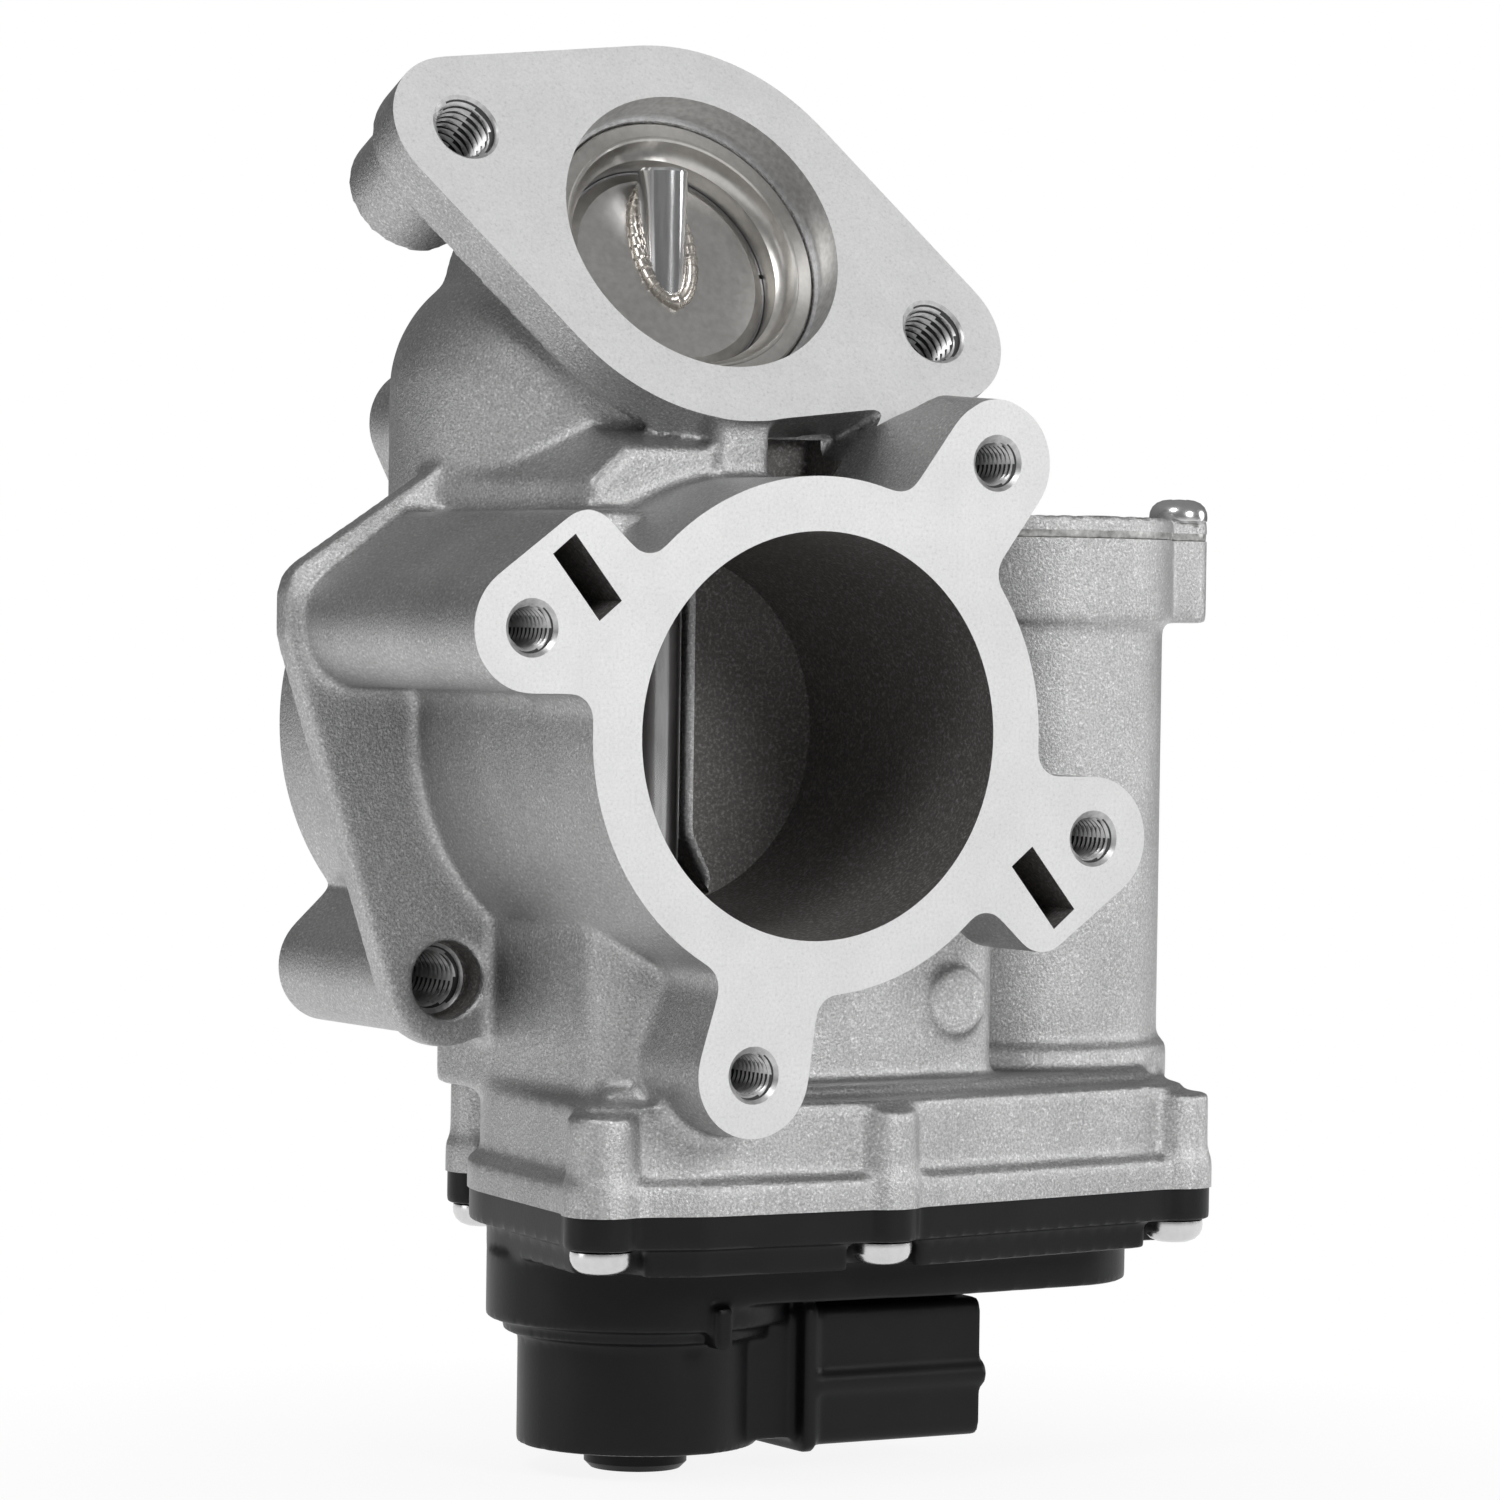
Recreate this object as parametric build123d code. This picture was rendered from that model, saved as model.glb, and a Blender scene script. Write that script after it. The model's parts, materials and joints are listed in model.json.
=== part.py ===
"""Motor-driven exhaust gas recirculation valve with a swing flap, in millimetres.

The origin is the centre of the main port on its flange face. +X points to the motor, +Y into the body
and +Z up along the valve shaft.
"""

import os
from math import acos, cos, hypot, pi, radians, sin, sqrt, tan

from build123d import *

# Main flange and throat
main_bore_r = 25.0
main_bore_land = 6.0
main_cavity_end_r = 22.8
main_cavity_depth = 40.5
main_ring_wall = 6.8
main_flange_depth = 14.0
main_hole_circle_r = 42.2
main_hole_angle_left = 162.3
main_hole_angle_top = 53.5
main_hole_angle_right = -17.7
main_hole_angle_bottom = -102.1
main_lug_r = 7.8
main_hole_depth = 15.0
notch_fillet_r = 3.0
slot_long = 10.2
slot_wide = 3.9
slot_depth = 12.0
slot_shift_along = 7.4
slot_shift_up = 6.1
slot_angle = -50.9
slot_lug_tip_r = 4.2
slot_lug_root_r = 3.0
slot_lug_root_shift = 8.5
shelf_corner_r = 4.0
shelf_reach = 14.0
shelf_rise = 4.6
shelf_foot_shift = 5.0
shelf_foot_z = 4.0

# Screw threads, as tapped core radius, shank radius, head and countersink
m6_core_r = 2.5
m8_core_r = 3.4
m8_sink_r = 4.6
m4_shank_r = 2.0
m4_head_r = 3.9
m4_head_height = 3.1

# Valve shaft
shaft_r = 3.2
shaft_y = 41.0
shaft_top_z = 71.5
shaft_lower_r = 2.6
shaft_clearance = 0.05
shaft_passage_gap = 1.1

# Rear port
rear_face_y = 80.0
rear_port_r = 27.0
rear_ring_r = 34.4
rear_wall_y = 66.0
duct_back_y = 62.0
divider_flare = 9.0
window_r = 22.6
window_overlap = 8.0
rear_bolt_circle_r = 41.8
rear_bolt_angle = -129.8
rear_boss_r = 7.4
rear_boss_length = 24.0
rear_hole_depth = 16.0
rear_counterbore_r = 4.9
rear_counterbore_depth = 4.7
plate_y = 46.0
plate_thickness = 4.0
plate_corner_r = 5.0
plate_overhang = 1.9
plate_corner_rise = 3.5
plate_corner_drop = 1.0
plate_boss_rim = 1.2
plate_top_shift = 14.0

# Exhaust flange, tilted upwards, and the neck behind it
port_tilt = 25.6
port_face_depth = 11.75
port_bore_r = 19.3
port_flange_r = 26.8
port_flange_thickness = 7.0
port_bolt_reach_x = 31.0
port_bolt_reach_up = 13.1
port_lug_r = 10.0
port_boss_r = 8.2
port_boss_length = 18.0
port_hole_depth = 14.0
neck_r = 22.6
neck_length = 30.0
neck_end_wall = 3.0

# Chamber above the throat
chamber_x = -4.0
chamber_y = 53.0
chamber_r = 25.5
chamber_wall = 4.0
chamber_top_z = 60.0
chamber_dome_fillet = 17.0
chamber_floor_z = 34.0
arm_spread = 8.0
arm_drop = 14.0
arm_rise = 8.0

# Bridge of metal between the throat, the neck and the left lug
bridge_front_y = 20.5
bridge_front_left_x = -21.0
bridge_front_low_z = 31.0
bridge_front_ridge_x = -15.5
bridge_front_top_z = 35.5
bridge_back_y = 47.0
bridge_back_left_x = -29.0
bridge_back_low_z = 31.5
bridge_back_ridge_x = -17.0
bridge_back_top_z = 42.5
bridge_right_x = 4.0
bridge_root_z = 24.0
pillar_width = 7.3
pillar_top_z = 38.5

# Valve seat and flap
seat_step_depth = 5.4
seat_length = 14.0
seat_outer_r = 18.6
seat_entry_r = 15.9
seat_bore_r = 14.6
seat_entry_depth = 2.6
flap_gap = 0.4
flap_thickness = 3.2
flap_bevel = 1.5
flap_ring_width = 1.2
flap_ring_gap = 0.12
flap_groove_depth = 1.6
weld_reach = 1.5
weld_rise = 1.3

# Gear train
sector_module = 1.0
sector_teeth = 54
sector_first_tooth = -13
sector_last_tooth = 2
sector_thickness = 6.0
sector_drop = 3.0
drum_r = 10.0
small_wheel_teeth = 12
drive_module = 0.8
pinion_teeth = 12
large_wheel_teeth = 42
wheel_thickness = 5.5
wheel_drop = 0.5
pressure_angle = 25.0
tooth_tip = 0.9
tooth_root = 1.2
gear_backlash = 0.1
fit_gap = 0.02
axle_r = 2.0
spring_wire_r = 0.9
spring_turns = 4

# Gearbox housing
parting_z = -59.0
gearbox_height = 13.5
gearbox_wall = 3.0
lip_thickness = 4.0
lip_overhang = 1.6
cover_screw_boss_r = 4.7
boss_stand_out = 1.0
wall_corner_shift = 3.0
motor_lip_rim = 1.4
lobe_rise = 0.3
shoulder_rise = 1.6
motor_foot_rise = 4.5
motor_foot_wall = 1.3
left_edge_x = -23.0
shaft_end_curve_r = 26.0
back_curve_x = 4.0
back_curve_y = 55.0
back_curve_r = 19.0
front_left_x = -22.5
front_left_y = 13.0
front_corner_x = -13.0
front_corner_y = 9.8
front_middle_x = 15.5
front_middle_y = 9.3
front_right_x = 65.0
front_right_y = 17.0
back_right_y = 64.0
back_middle_x = 22.0
back_middle_y = 68.2
back_left_x = -9.0
back_left_y = 69.5
pedestal_left_x = -20.6
pedestal_right_x = 40.0
pedestal_front_y = 15.0
pedestal_back_y = 66.0
web_front_y = 18.0
cast_pad_x = 31.5
cast_pad_z = -34.2
cast_pad_r = 4.3
cast_pad_rise = 1.2

# Motor housing and motor
motor_can_r = 17.0
motor_can_length = 58.5
end_cap_thickness = 5.0
bush_outer_r = 4.0
terminal_reach = 10.0
terminal_thickness = 0.8
terminal_width = 3.0
axle_seat = 7.0
winding_height = 4.5
motor_can_wall = 1.2
motor_fit = 0.3
motor_housing_wall = 2.3
motor_top_z = 25.2
motor_collar_height = 10.9
motor_collar_rise = 1.3
motor_floor = 3.0
motor_shaft_r = 2.0
motor_lug_r = 3.9
motor_lug_reach = 22.8
motor_lug_angle = -15.0
cap_thickness = 2.5
cap_room_gap = 0.8
cap_room_height = 6.5
cap_seal_r = 0.7
armature_r = 10.5
armature_length = 24.0
armature_slots = 7
air_gap = 0.6
commutator_r = 4.6
commutator_length = 8.0

# Bearings and seal on the valve shaft
bush_r = 5.2
bush_length = 13.0
seal_r = 6.6
seal_length = 3.5
bearing_r = 8.5
bearing_length = 5.0
bearing_ball_r = 1.2
bearing_balls = 8

# Cover
cover_rim_thickness = 4.2
cover_wall = 2.4
cover_ledge_z = -66.8
cover_ledge_inset = 2.6
cover_bulge_z = -72.3
bulge_end_x = 53.5
bulge_end_y = 36.0
bulge_end_r = 14.0
dome_x = -1.5
screw_pocket_r = 5.4
dome_step_r = 19.4
dome_step_z = -75.5
dome_neck_r = 17.2
dome_neck_z = -77.2
dome_r = 15.3
dome_z = -91.5
plug_r = 6.6
plug_rise = 3.2
connector_x_start = 17.0
connector_x_end = 42.0
connector_flange_length = 2.0
connector_flange_rise = 0.7
connector_y_low = 27.0
connector_y_high = 49.0
connector_z_low = -91.6
connector_z_high = -73.6
connector_wall = 2.2
connector_band_rise = 0.9
connector_band_width = 2.8
connector_band_z = -83.5
socket_back = 5.0
connector_pin_count = 5
connector_pin_pitch = 3.0
gasket_width = 1.3
gasket_height = 1.1
magnet_r = 6.5
magnet_height = 3.5
board_z = -83.0
board_thickness = 1.6

# Derived places
tilt = radians(port_tilt)
ring_r = main_bore_r + main_ring_wall
port_x_axis = (1, 0, 0)
port_normal = (0, -cos(tilt), sin(tilt))
flap_z = 58.0
port_face_y = shaft_y - port_face_depth * cos(tilt)
port_face_z = flap_z + port_face_depth * sin(tilt)
port_plane = Plane(origin=(0, port_face_y, port_face_z), x_dir=port_x_axis, z_dir=port_normal)
flap_plane = Plane(origin=(0, shaft_y, flap_z), x_dir=port_x_axis, z_dir=port_normal)
wheel_x = sector_module * (sector_teeth + small_wheel_teeth) / 2
motor_x = wheel_x + drive_module * (pinion_teeth + large_wheel_teeth) / 2
gear_y = shaft_y
gearbox_top_z = parting_z + gearbox_height
gearbox_ceiling_z = gearbox_top_z - gearbox_wall
motor_bore_r = motor_can_r + motor_fit
motor_housing_r = motor_bore_r + motor_housing_wall
motor_floor_z = gearbox_top_z + motor_floor
flap_r = seat_bore_r - flap_gap
rim_z = parting_z - cover_rim_thickness
bearing_low_z = gearbox_ceiling_z
bearing_high_z = bearing_low_z + bearing_length
seal_high_z = bearing_high_z + seal_length
bush_high_z = seal_high_z + bush_length
sector_high_z = gearbox_ceiling_z - sector_drop
sector_low_z = sector_high_z - sector_thickness
wheel_high_z = sector_low_z - wheel_drop
wheel_low_z = wheel_high_z - wheel_thickness
cover_floor_z = cover_bulge_z + cover_wall
dome_floor_z = dome_z + cover_wall
spring_r = drum_r + spring_wire_r + 0.1
spring_pitch = 2 * spring_wire_r + 0.4
drum_low_z = cover_bulge_z + 0.5
magnet_high_z = drum_low_z
magnet_low_z = magnet_high_z - magnet_height
end_cap_high_z = motor_floor_z + end_cap_thickness
motor_can_top_z = end_cap_high_z + motor_can_length
commutator_low_z = end_cap_high_z + 1.5
commutator_high_z = commutator_low_z + commutator_length
armature_low_z = commutator_high_z + winding_height + 1.0
armature_high_z = armature_low_z + armature_length
magnet_bore_r = armature_r + air_gap
cover_screw_places = (
    (front_left_x, front_left_y),
    (front_middle_x, front_middle_y),
    (front_right_x, front_right_y),
    (front_right_x, back_right_y),
    (back_middle_x, back_middle_y),
    (back_left_x, back_left_y),
)


def on_circle(radius, angle):
    """Point at this radius and angle in degrees."""
    return radius * cos(radians(angle)), radius * sin(radians(angle))


main_hole_left = on_circle(main_hole_circle_r, main_hole_angle_left)
main_hole_top = on_circle(main_hole_circle_r, main_hole_angle_top)
main_hole_right = on_circle(main_hole_circle_r, main_hole_angle_right)
main_hole_bottom = on_circle(main_hole_circle_r, main_hole_angle_bottom)
main_holes = (main_hole_left, main_hole_top, main_hole_right, main_hole_bottom)


def disc(x, y, radius):
    """Filled circle in a sketch."""
    return Pos(x, y) * Circle(radius)


def hull(*circles):
    """Outline stretched round circles, each given as x, y and radius."""
    edges = [Edge.make_circle(r, Plane((x, y, 0))) for x, y, r in circles]
    return Sketch() + make_hull(edges)


def along_y(sketch, start, end):
    """Solid from a front view sketch, between two depths."""
    plane = Plane(origin=(0, end, 0), x_dir=(1, 0, 0), z_dir=(0, -1, 0))
    return extrude(plane * sketch, end - start)


def along_z(sketch, low, high):
    """Solid from a top view sketch, between two heights."""
    return extrude(Plane.XY.offset(low) * sketch, high - low)


def along_port(sketch, start, end):
    """Solid from a sketch seen squarely on the exhaust flange, between two depths below its face."""
    return extrude(port_plane.offset(-end) * sketch, end - start)


def cone_y(start, start_r, end, end_r):
    """Tapered round solid along Y about the throat axis."""
    front = Plane(origin=(0, start, 0), x_dir=(1, 0, 0), z_dir=(0, 1, 0))
    back = Plane(origin=(0, end, 0), x_dir=(1, 0, 0), z_dir=(0, 1, 0))
    return loft([front * Circle(start_r), back * Circle(end_r)])


def ring(outer_r, inner_r):
    """Annulus sketch about the sketch's origin."""
    return Circle(outer_r) - Circle(inner_r)


def shaft_ring(outer_r, inner_r, low, high):
    """Round collar on the valve shaft's axis."""
    return along_z(Pos(0, shaft_y) * ring(outer_r, inner_r), low, high)


def left_lug():
    """Flange lug with one screw hole and one slot, on the left of the main bore."""
    x, z = main_hole_left
    tip_x, tip_z = slot_centre_left()
    return hull(
        (x, z, main_lug_r),
        (tip_x, tip_z + slot_wide, slot_lug_tip_r),
        (x + main_lug_r + slot_lug_root_shift, z - main_lug_r + slot_lug_root_r, slot_lug_root_r),
        (tip_x + slot_long, tip_z - slot_wide, slot_lug_root_r),
    )


def slot_centre_left():
    """Centre of the slot beside the left screw hole."""
    x, z = main_hole_left
    return x + slot_shift_along, z + slot_shift_up


def narrow_lug(place, root_r):
    """Flange lug that stands out from the ring on a short neck."""
    x, z = place
    reach = (ring_r - main_lug_r) / main_hole_circle_r
    return hull((x, z, main_lug_r), (x * reach, z * reach, root_r))


def main_flange_outline():
    """Ring with four lugs, with soft corners where the lugs meet the ring."""
    lug = left_lug()
    outline = Circle(ring_r) + lug + Rot(0, 0, 180) * lug
    outline += narrow_lug(main_hole_top, main_lug_r)
    outline += narrow_lug(main_hole_bottom, main_lug_r - 1.5)
    corners = [v for v in outline.vertices() if abs(hypot(v.X, v.Y) - ring_r) < 0.01]
    return fillet(corners, notch_fillet_r)


def plate_outline():
    """Cast plate behind the left lug, which carries the rear bolt boss."""
    x, z = main_hole_left
    low_x, low_z = on_circle(rear_bolt_circle_r, rear_bolt_angle)
    left_x = x - main_lug_r - plate_overhang + plate_corner_r
    return hull(
        (left_x, z + plate_corner_rise, plate_corner_r),
        (left_x, z - plate_corner_drop, plate_corner_r),
        (low_x, low_z, rear_boss_r + plate_boss_rim),
        (chamber_x - plate_top_shift, chamber_floor_z, plate_corner_r),
        (0, 0, ring_r - 2.0),
    )


def gearbox_outline(inset):
    """Top view of the gearbox between its screw lobes, pulled in from the outer lip by the inset."""
    shift = wall_corner_shift
    corner_r = cover_screw_boss_r + shift - boss_stand_out
    circles = (
        (back_curve_x, back_curve_y, back_curve_r),
        (left_edge_x + shaft_end_curve_r, shaft_y, shaft_end_curve_r),
        (front_left_x + shift, front_left_y + shift, corner_r),
        (front_corner_x + shift, front_corner_y + shift, corner_r),
        (front_middle_x, front_middle_y + shift, corner_r),
        (front_right_x - shift, front_right_y + shift, corner_r),
        (motor_x, gear_y, motor_housing_r + motor_lip_rim),
        (front_right_x - shift, back_right_y - shift, corner_r),
        (back_middle_x, back_middle_y - shift, corner_r + boss_stand_out),
    )
    return hull(*[(x, y, r - inset) for x, y, r in circles])


def lip_outline(inset):
    """Top view of the parting lip, with a lobe round each screw."""
    return gearbox_outline(inset) + screw_bosses(cover_screw_boss_r + lobe_rise - inset)


def screw_bosses(radius):
    """Circles round the cover screws."""
    return Sketch() + [disc(x, y, radius) for x, y in cover_screw_places]


def gearbox_cavity(side_gap):
    """Room for the gears, scalloped round the screw bosses."""
    inset = lip_overhang + gearbox_wall + side_gap - 0.6
    return gearbox_outline(inset) - screw_bosses(cover_screw_boss_r + side_gap)


def shelf_outline():
    """Metal that fills the corner between the left lug and the ring behind the flange."""
    x, z = slot_centre_left()
    return hull(
        (x, z + slot_wide, shelf_corner_r),
        (x + shelf_reach, z + shelf_rise, shelf_corner_r),
        (x + shelf_foot_shift, shelf_foot_z, shelf_corner_r),
    )


def throat_outline():
    """Throat tube with the lugs that run back along it."""
    lugs = left_lug() + narrow_lug(main_hole_top, main_lug_r) + narrow_lug(main_hole_bottom, main_lug_r)
    return Circle(ring_r) + lugs + shelf_outline()


def rear_boss_places():
    """Rear bolt places, the first of them low on the left."""
    return [on_circle(rear_bolt_circle_r, rear_bolt_angle + 120 * step) for step in range(3)]


def rear_boss(place):
    """Bolt boss with the web that ties it to the rear ring."""
    x, z = place
    return hull((x, z, rear_boss_r), (x * 0.6, z * 0.6, rear_boss_r - 2.0))


def throat_casting():
    """Stack of front view outlines from the main flange back to the rear port."""
    first, second, third = [rear_boss(place) for place in rear_boss_places()]
    rear_ring = Sketch() + Circle(rear_ring_r)
    bosses_y = rear_face_y - rear_boss_length
    plate_end_y = plate_y + plate_thickness
    body = along_y(main_flange_outline(), 0, main_flange_depth)
    body += along_y(throat_outline(), main_flange_depth, plate_y)
    body += along_y(plate_outline() + rear_ring + first, plate_y, plate_end_y)
    body += along_y(rear_ring + first, plate_end_y, bosses_y)
    body += along_y(rear_ring + first + second + third, bosses_y, rear_face_y)
    return body


def chamber_casting():
    """Domed chamber that turns the gas down, with the arm that ties it to the top lug."""
    chamber = along_z(disc(chamber_x, chamber_y, chamber_r), ring_r / 3, chamber_top_z)
    rim = chamber.edges().sort_by(Axis.Z)[-1]
    arm_x, arm_z = main_hole_top
    arm = hull(
        (arm_x, shaft_y - arm_spread, main_lug_r),
        (0, shaft_y + arm_spread, chamber_r - arm_spread),
    )
    return [fillet(rim, chamber_dome_fillet), along_z(arm, arm_z - arm_drop, arm_z + arm_rise)]


def exhaust_casting():
    """Neck, bolt bosses and plate of the tilted exhaust flange."""
    left, right = port_bolt_places()
    outline = hull((0, 0, port_flange_r), (*left, port_lug_r), (*right, port_lug_r))
    neck = along_port(Circle(neck_r), 0, neck_length)
    bosses = [along_port(disc(*place, port_boss_r), 0, port_boss_length) for place in (right, left)]
    return [neck, *bosses, along_port(outline, 0, port_flange_thickness)]


def bridge_section(y, left_x, low_z, ridge_x, top_z):
    """Front view of the bridge at one depth, sloped on its left."""
    plane = Plane(origin=(0, y, 0), x_dir=(1, 0, 0), z_dir=(0, -1, 0))
    outline = Polyline(
        (left_x, bridge_root_z),
        (left_x, low_z),
        (ridge_x, top_z),
        (bridge_right_x, top_z),
        (bridge_right_x, bridge_root_z),
        close=True,
    )
    return plane * make_face(outline)


def bridge_casting():
    """Bridge that ties the neck to the throat and the left lug, with a short pillar at its right end."""
    front = bridge_section(
        bridge_front_y, bridge_front_left_x, bridge_front_low_z, bridge_front_ridge_x, bridge_front_top_z
    )
    back = bridge_section(
        bridge_back_y, bridge_back_left_x, bridge_back_low_z, bridge_back_ridge_x, bridge_back_top_z
    )
    pillar_x = bridge_right_x - pillar_width / 2
    pillar_low_z = bridge_root_z + 2.0
    pillar_height = pillar_top_z - pillar_low_z
    pillar = Pos(pillar_x, pillar_low_z + pillar_height / 2) * Rectangle(pillar_width, pillar_height)
    return loft([front, back]) + along_y(pillar, bridge_front_y - 1.0, bridge_front_y + 14.0)


def port_bolt_places():
    """The two exhaust flange bolt places, as seen squarely on its face."""
    left = (-port_bolt_reach_x, port_bolt_reach_up)
    right = (port_bolt_reach_x, -port_bolt_reach_up)
    return left, right


def gearbox_casting():
    """Open-bottomed gear housing with its lip, screw bosses and pedestal under the throat."""
    wall = gearbox_outline(lip_overhang)
    body = along_z(wall, parting_z, gearbox_top_z)
    body += along_z(lip_outline(0), parting_z, parting_z + lip_thickness)
    body += along_z(screw_bosses(cover_screw_boss_r - 0.3), parting_z, gearbox_top_z - 1.2)
    shoulder = gearbox_outline(lip_overhang + 4.0)
    body += along_z(shoulder, gearbox_top_z - 1.0, gearbox_top_z + shoulder_rise)
    corner_r = 7.0
    block = hull(
        (pedestal_left_x + corner_r, pedestal_front_y + corner_r, corner_r),
        (pedestal_left_x + corner_r, pedestal_back_y - corner_r, corner_r),
        (pedestal_right_x - corner_r, web_front_y + corner_r, corner_r),
        (pedestal_right_x - corner_r, pedestal_back_y - corner_r, corner_r),
    )
    body += along_z(block, gearbox_top_z - 1.0, -ring_r / 2)
    pad = along_y(disc(cast_pad_x, cast_pad_z, cast_pad_r), web_front_y - cast_pad_rise, web_front_y + 4.0)
    return body + pad


def motor_lug_places():
    """Two cap screw places on opposite sides of the motor."""
    return [
        (motor_x + motor_lug_reach * cos(radians(a)), gear_y + motor_lug_reach * sin(radians(a)))
        for a in (motor_lug_angle, motor_lug_angle + 180)
    ]


def cap_outline(grow):
    """Collar and screw lugs of the motor housing, seen from above."""
    collar_r = motor_housing_r + motor_collar_rise + grow
    lugs = [(x, y, motor_lug_r + grow) for x, y in motor_lug_places()]
    lug_root = (motor_x, gear_y, motor_can_r / 2)
    return disc(motor_x, gear_y, collar_r) + [hull(lug, lug_root) for lug in lugs]


def motor_casting():
    """Upright motor housing with a foot and with a collar for its cap."""
    body = along_z(disc(motor_x, gear_y, motor_housing_r), gearbox_top_z - 1.0, motor_top_z)
    foot = disc(motor_x, gear_y, motor_housing_r + motor_foot_wall)
    body += along_z(foot, gearbox_top_z - 1.0, gearbox_top_z + motor_foot_rise)
    collar_z = motor_top_z - motor_collar_height
    return body + along_z(cap_outline(0), collar_z, motor_top_z)


def throat_room():
    """Main cavity, rear cavity and the window between them, which the shaft stands in."""
    room = cone_y(main_bore_land, main_bore_r, main_cavity_depth, main_cavity_end_r)
    room += along_y(Circle(main_bore_r), 0, main_bore_land)
    room += along_y(Circle(rear_port_r), rear_wall_y, rear_face_y)
    edge_x = shaft_r + shaft_passage_gap
    window = Circle(window_r) & (Pos(edge_x - window_r, 0) * Rectangle(2 * window_r, 2 * window_r))
    flare_top = (edge_x, divider_flare - window_r)
    flare_low = (edge_x + divider_flare / 2, -window_r)
    flare = make_face(Polyline(flare_top, (edge_x, -window_r), flare_low, close=True))
    window += flare & Circle(window_r)
    return room + along_y(window, main_cavity_depth - window_overlap, duct_back_y)


def chamber_room():
    """Inside of the domed chamber, its way down into the rear cavity and the shaft's passage."""
    inner_r = chamber_r - chamber_wall
    circle = disc(chamber_x, chamber_y, inner_r)
    top_z = chamber_top_z - chamber_wall
    room = along_z(circle, chamber_floor_z, top_z)
    rim = room.edges().sort_by(Axis.Z)[-1]
    room = fillet(rim, chamber_dome_fillet - chamber_wall)
    passage_r = shaft_r + shaft_passage_gap
    duct_depth = duct_back_y - main_cavity_depth
    duct_centre = Pos(passage_r - chamber_r, main_cavity_depth + duct_depth / 2)
    duct = duct_centre * Rectangle(2 * chamber_r, duct_depth)
    room += along_z(circle & duct, 0, chamber_floor_z + 1.0)
    behind = Pos(chamber_x, rear_wall_y + chamber_r) * Rectangle(2 * chamber_r, 2 * chamber_r)
    room += along_z(circle & behind, rear_port_r / 2, chamber_floor_z + 1.0)
    seat_end = seat_step_depth + seat_length
    room += along_port(Circle(seat_bore_r), seat_end - 1.0, neck_length - neck_end_wall)
    room += along_z(disc(0, shaft_y, passage_r), 0, flap_z)
    return room


def screw_holes():
    """Tapped holes in the three flanges, the gearbox lip and the motor collar."""
    cut = Part()
    for x, z in main_holes:
        cut += along_y(disc(x, z, m6_core_r), 0, main_hole_depth)
    for place in port_bolt_places():
        cut += along_port(disc(*place, m8_core_r), 0, port_hole_depth)
        cut += countersink(Plane(port_plane * Pos(*place)), m8_core_r, m8_sink_r)
    low_place, *other_places = rear_boss_places()
    cut += along_y(disc(*low_place, m8_core_r), plate_y, rear_face_y)
    cut += along_y(disc(*low_place, rear_counterbore_r), plate_y, plate_y + rear_counterbore_depth)
    for place in other_places:
        cut += along_y(disc(*place, m8_core_r), rear_face_y - rear_hole_depth, rear_face_y)
    for x, y in cover_screw_places:
        cut += along_z(disc(x, y, m4_shank_r), parting_z, parting_z + gearbox_height - 4.0)
    for x, y in motor_lug_places():
        cut += along_z(disc(x, y, m4_shank_r), motor_top_z - 9.0, motor_top_z)
    return cut


def countersink(plane, core_r, sink_r):
    """Small cone at the mouth of a tapped hole, on a plane whose normal leaves the face."""
    depth = sink_r - core_r
    return loft([plane * Circle(sink_r), plane.offset(-depth) * Circle(core_r)])


def slots():
    """Two cored slots in the main flange, opposite each other."""
    x, z = slot_centre_left()
    slot = Pos(x, z) * Rot(0, 0, slot_angle) * Rectangle(slot_long, slot_wide)
    return along_y(slot + Rot(0, 0, 180) * slot, 0, slot_depth)


def valve_body():
    """The main casting, with its machined ports, pockets and holes."""
    body = throat_casting()
    upper_features = (*chamber_casting(), *exhaust_casting(), bridge_casting())
    for feature in (*upper_features, gearbox_casting(), motor_casting()):
        body += feature
    body -= throat_room()
    body -= chamber_room()
    body -= along_port(Circle(port_bore_r), 0, seat_step_depth)
    body -= along_port(Circle(seat_outer_r), seat_step_depth - 1.0, seat_step_depth + seat_length)
    body -= along_z(gearbox_cavity(0), parting_z, gearbox_ceiling_z)
    body -= along_z(disc(motor_x, gear_y, motor_bore_r), motor_floor_z, motor_top_z)
    body -= along_z(disc(motor_x, gear_y, motor_shaft_r * 2), gearbox_ceiling_z, motor_floor_z)
    body -= along_z(disc(wheel_x, gear_y, axle_r), gearbox_ceiling_z, gearbox_ceiling_z + axle_seat + 1.0)
    body -= along_z(cap_seal_sketch(0), motor_top_z - 2 * cap_seal_r, motor_top_z)
    body -= along_z(cap_outline(cap_room_gap), motor_top_z, motor_top_z + cap_room_height)
    for x, y in terminal_places():
        body -= Pos(x, y, gearbox_top_z) * Box(terminal_width, terminal_width + 2.0, 8.0)
    body -= bearing_pocket()
    body -= screw_holes()
    body -= slots()
    return body


def bearing_pocket():
    """Stepped hole down the pedestal for the bush, the seal and the ball bearing."""
    room = along_z(disc(0, shaft_y, bearing_r), bearing_low_z, bearing_high_z)
    room += along_z(disc(0, shaft_y, seal_r), bearing_high_z, seal_high_z)
    room += along_z(disc(0, shaft_y, bush_r), seal_high_z, bush_high_z)
    return room + along_z(disc(0, shaft_y, shaft_r + shaft_passage_gap), bush_high_z, 0)


def seat_ring():
    """Steel seat pressed into the exhaust port, with a lead-in towards the flange face."""
    start = seat_step_depth
    body = along_port(Circle(seat_outer_r - fit_gap), start, start + seat_length)
    mouth = port_plane.offset(-start) * Circle(seat_entry_r)
    throat = port_plane.offset(-start - seat_entry_depth) * Circle(seat_bore_r)
    body -= loft([mouth, throat])
    body -= along_port(Circle(seat_bore_r), start, start + seat_length)
    return body - along_z(disc(0, shaft_y, shaft_r + shaft_passage_gap), 0, flap_z)


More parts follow.
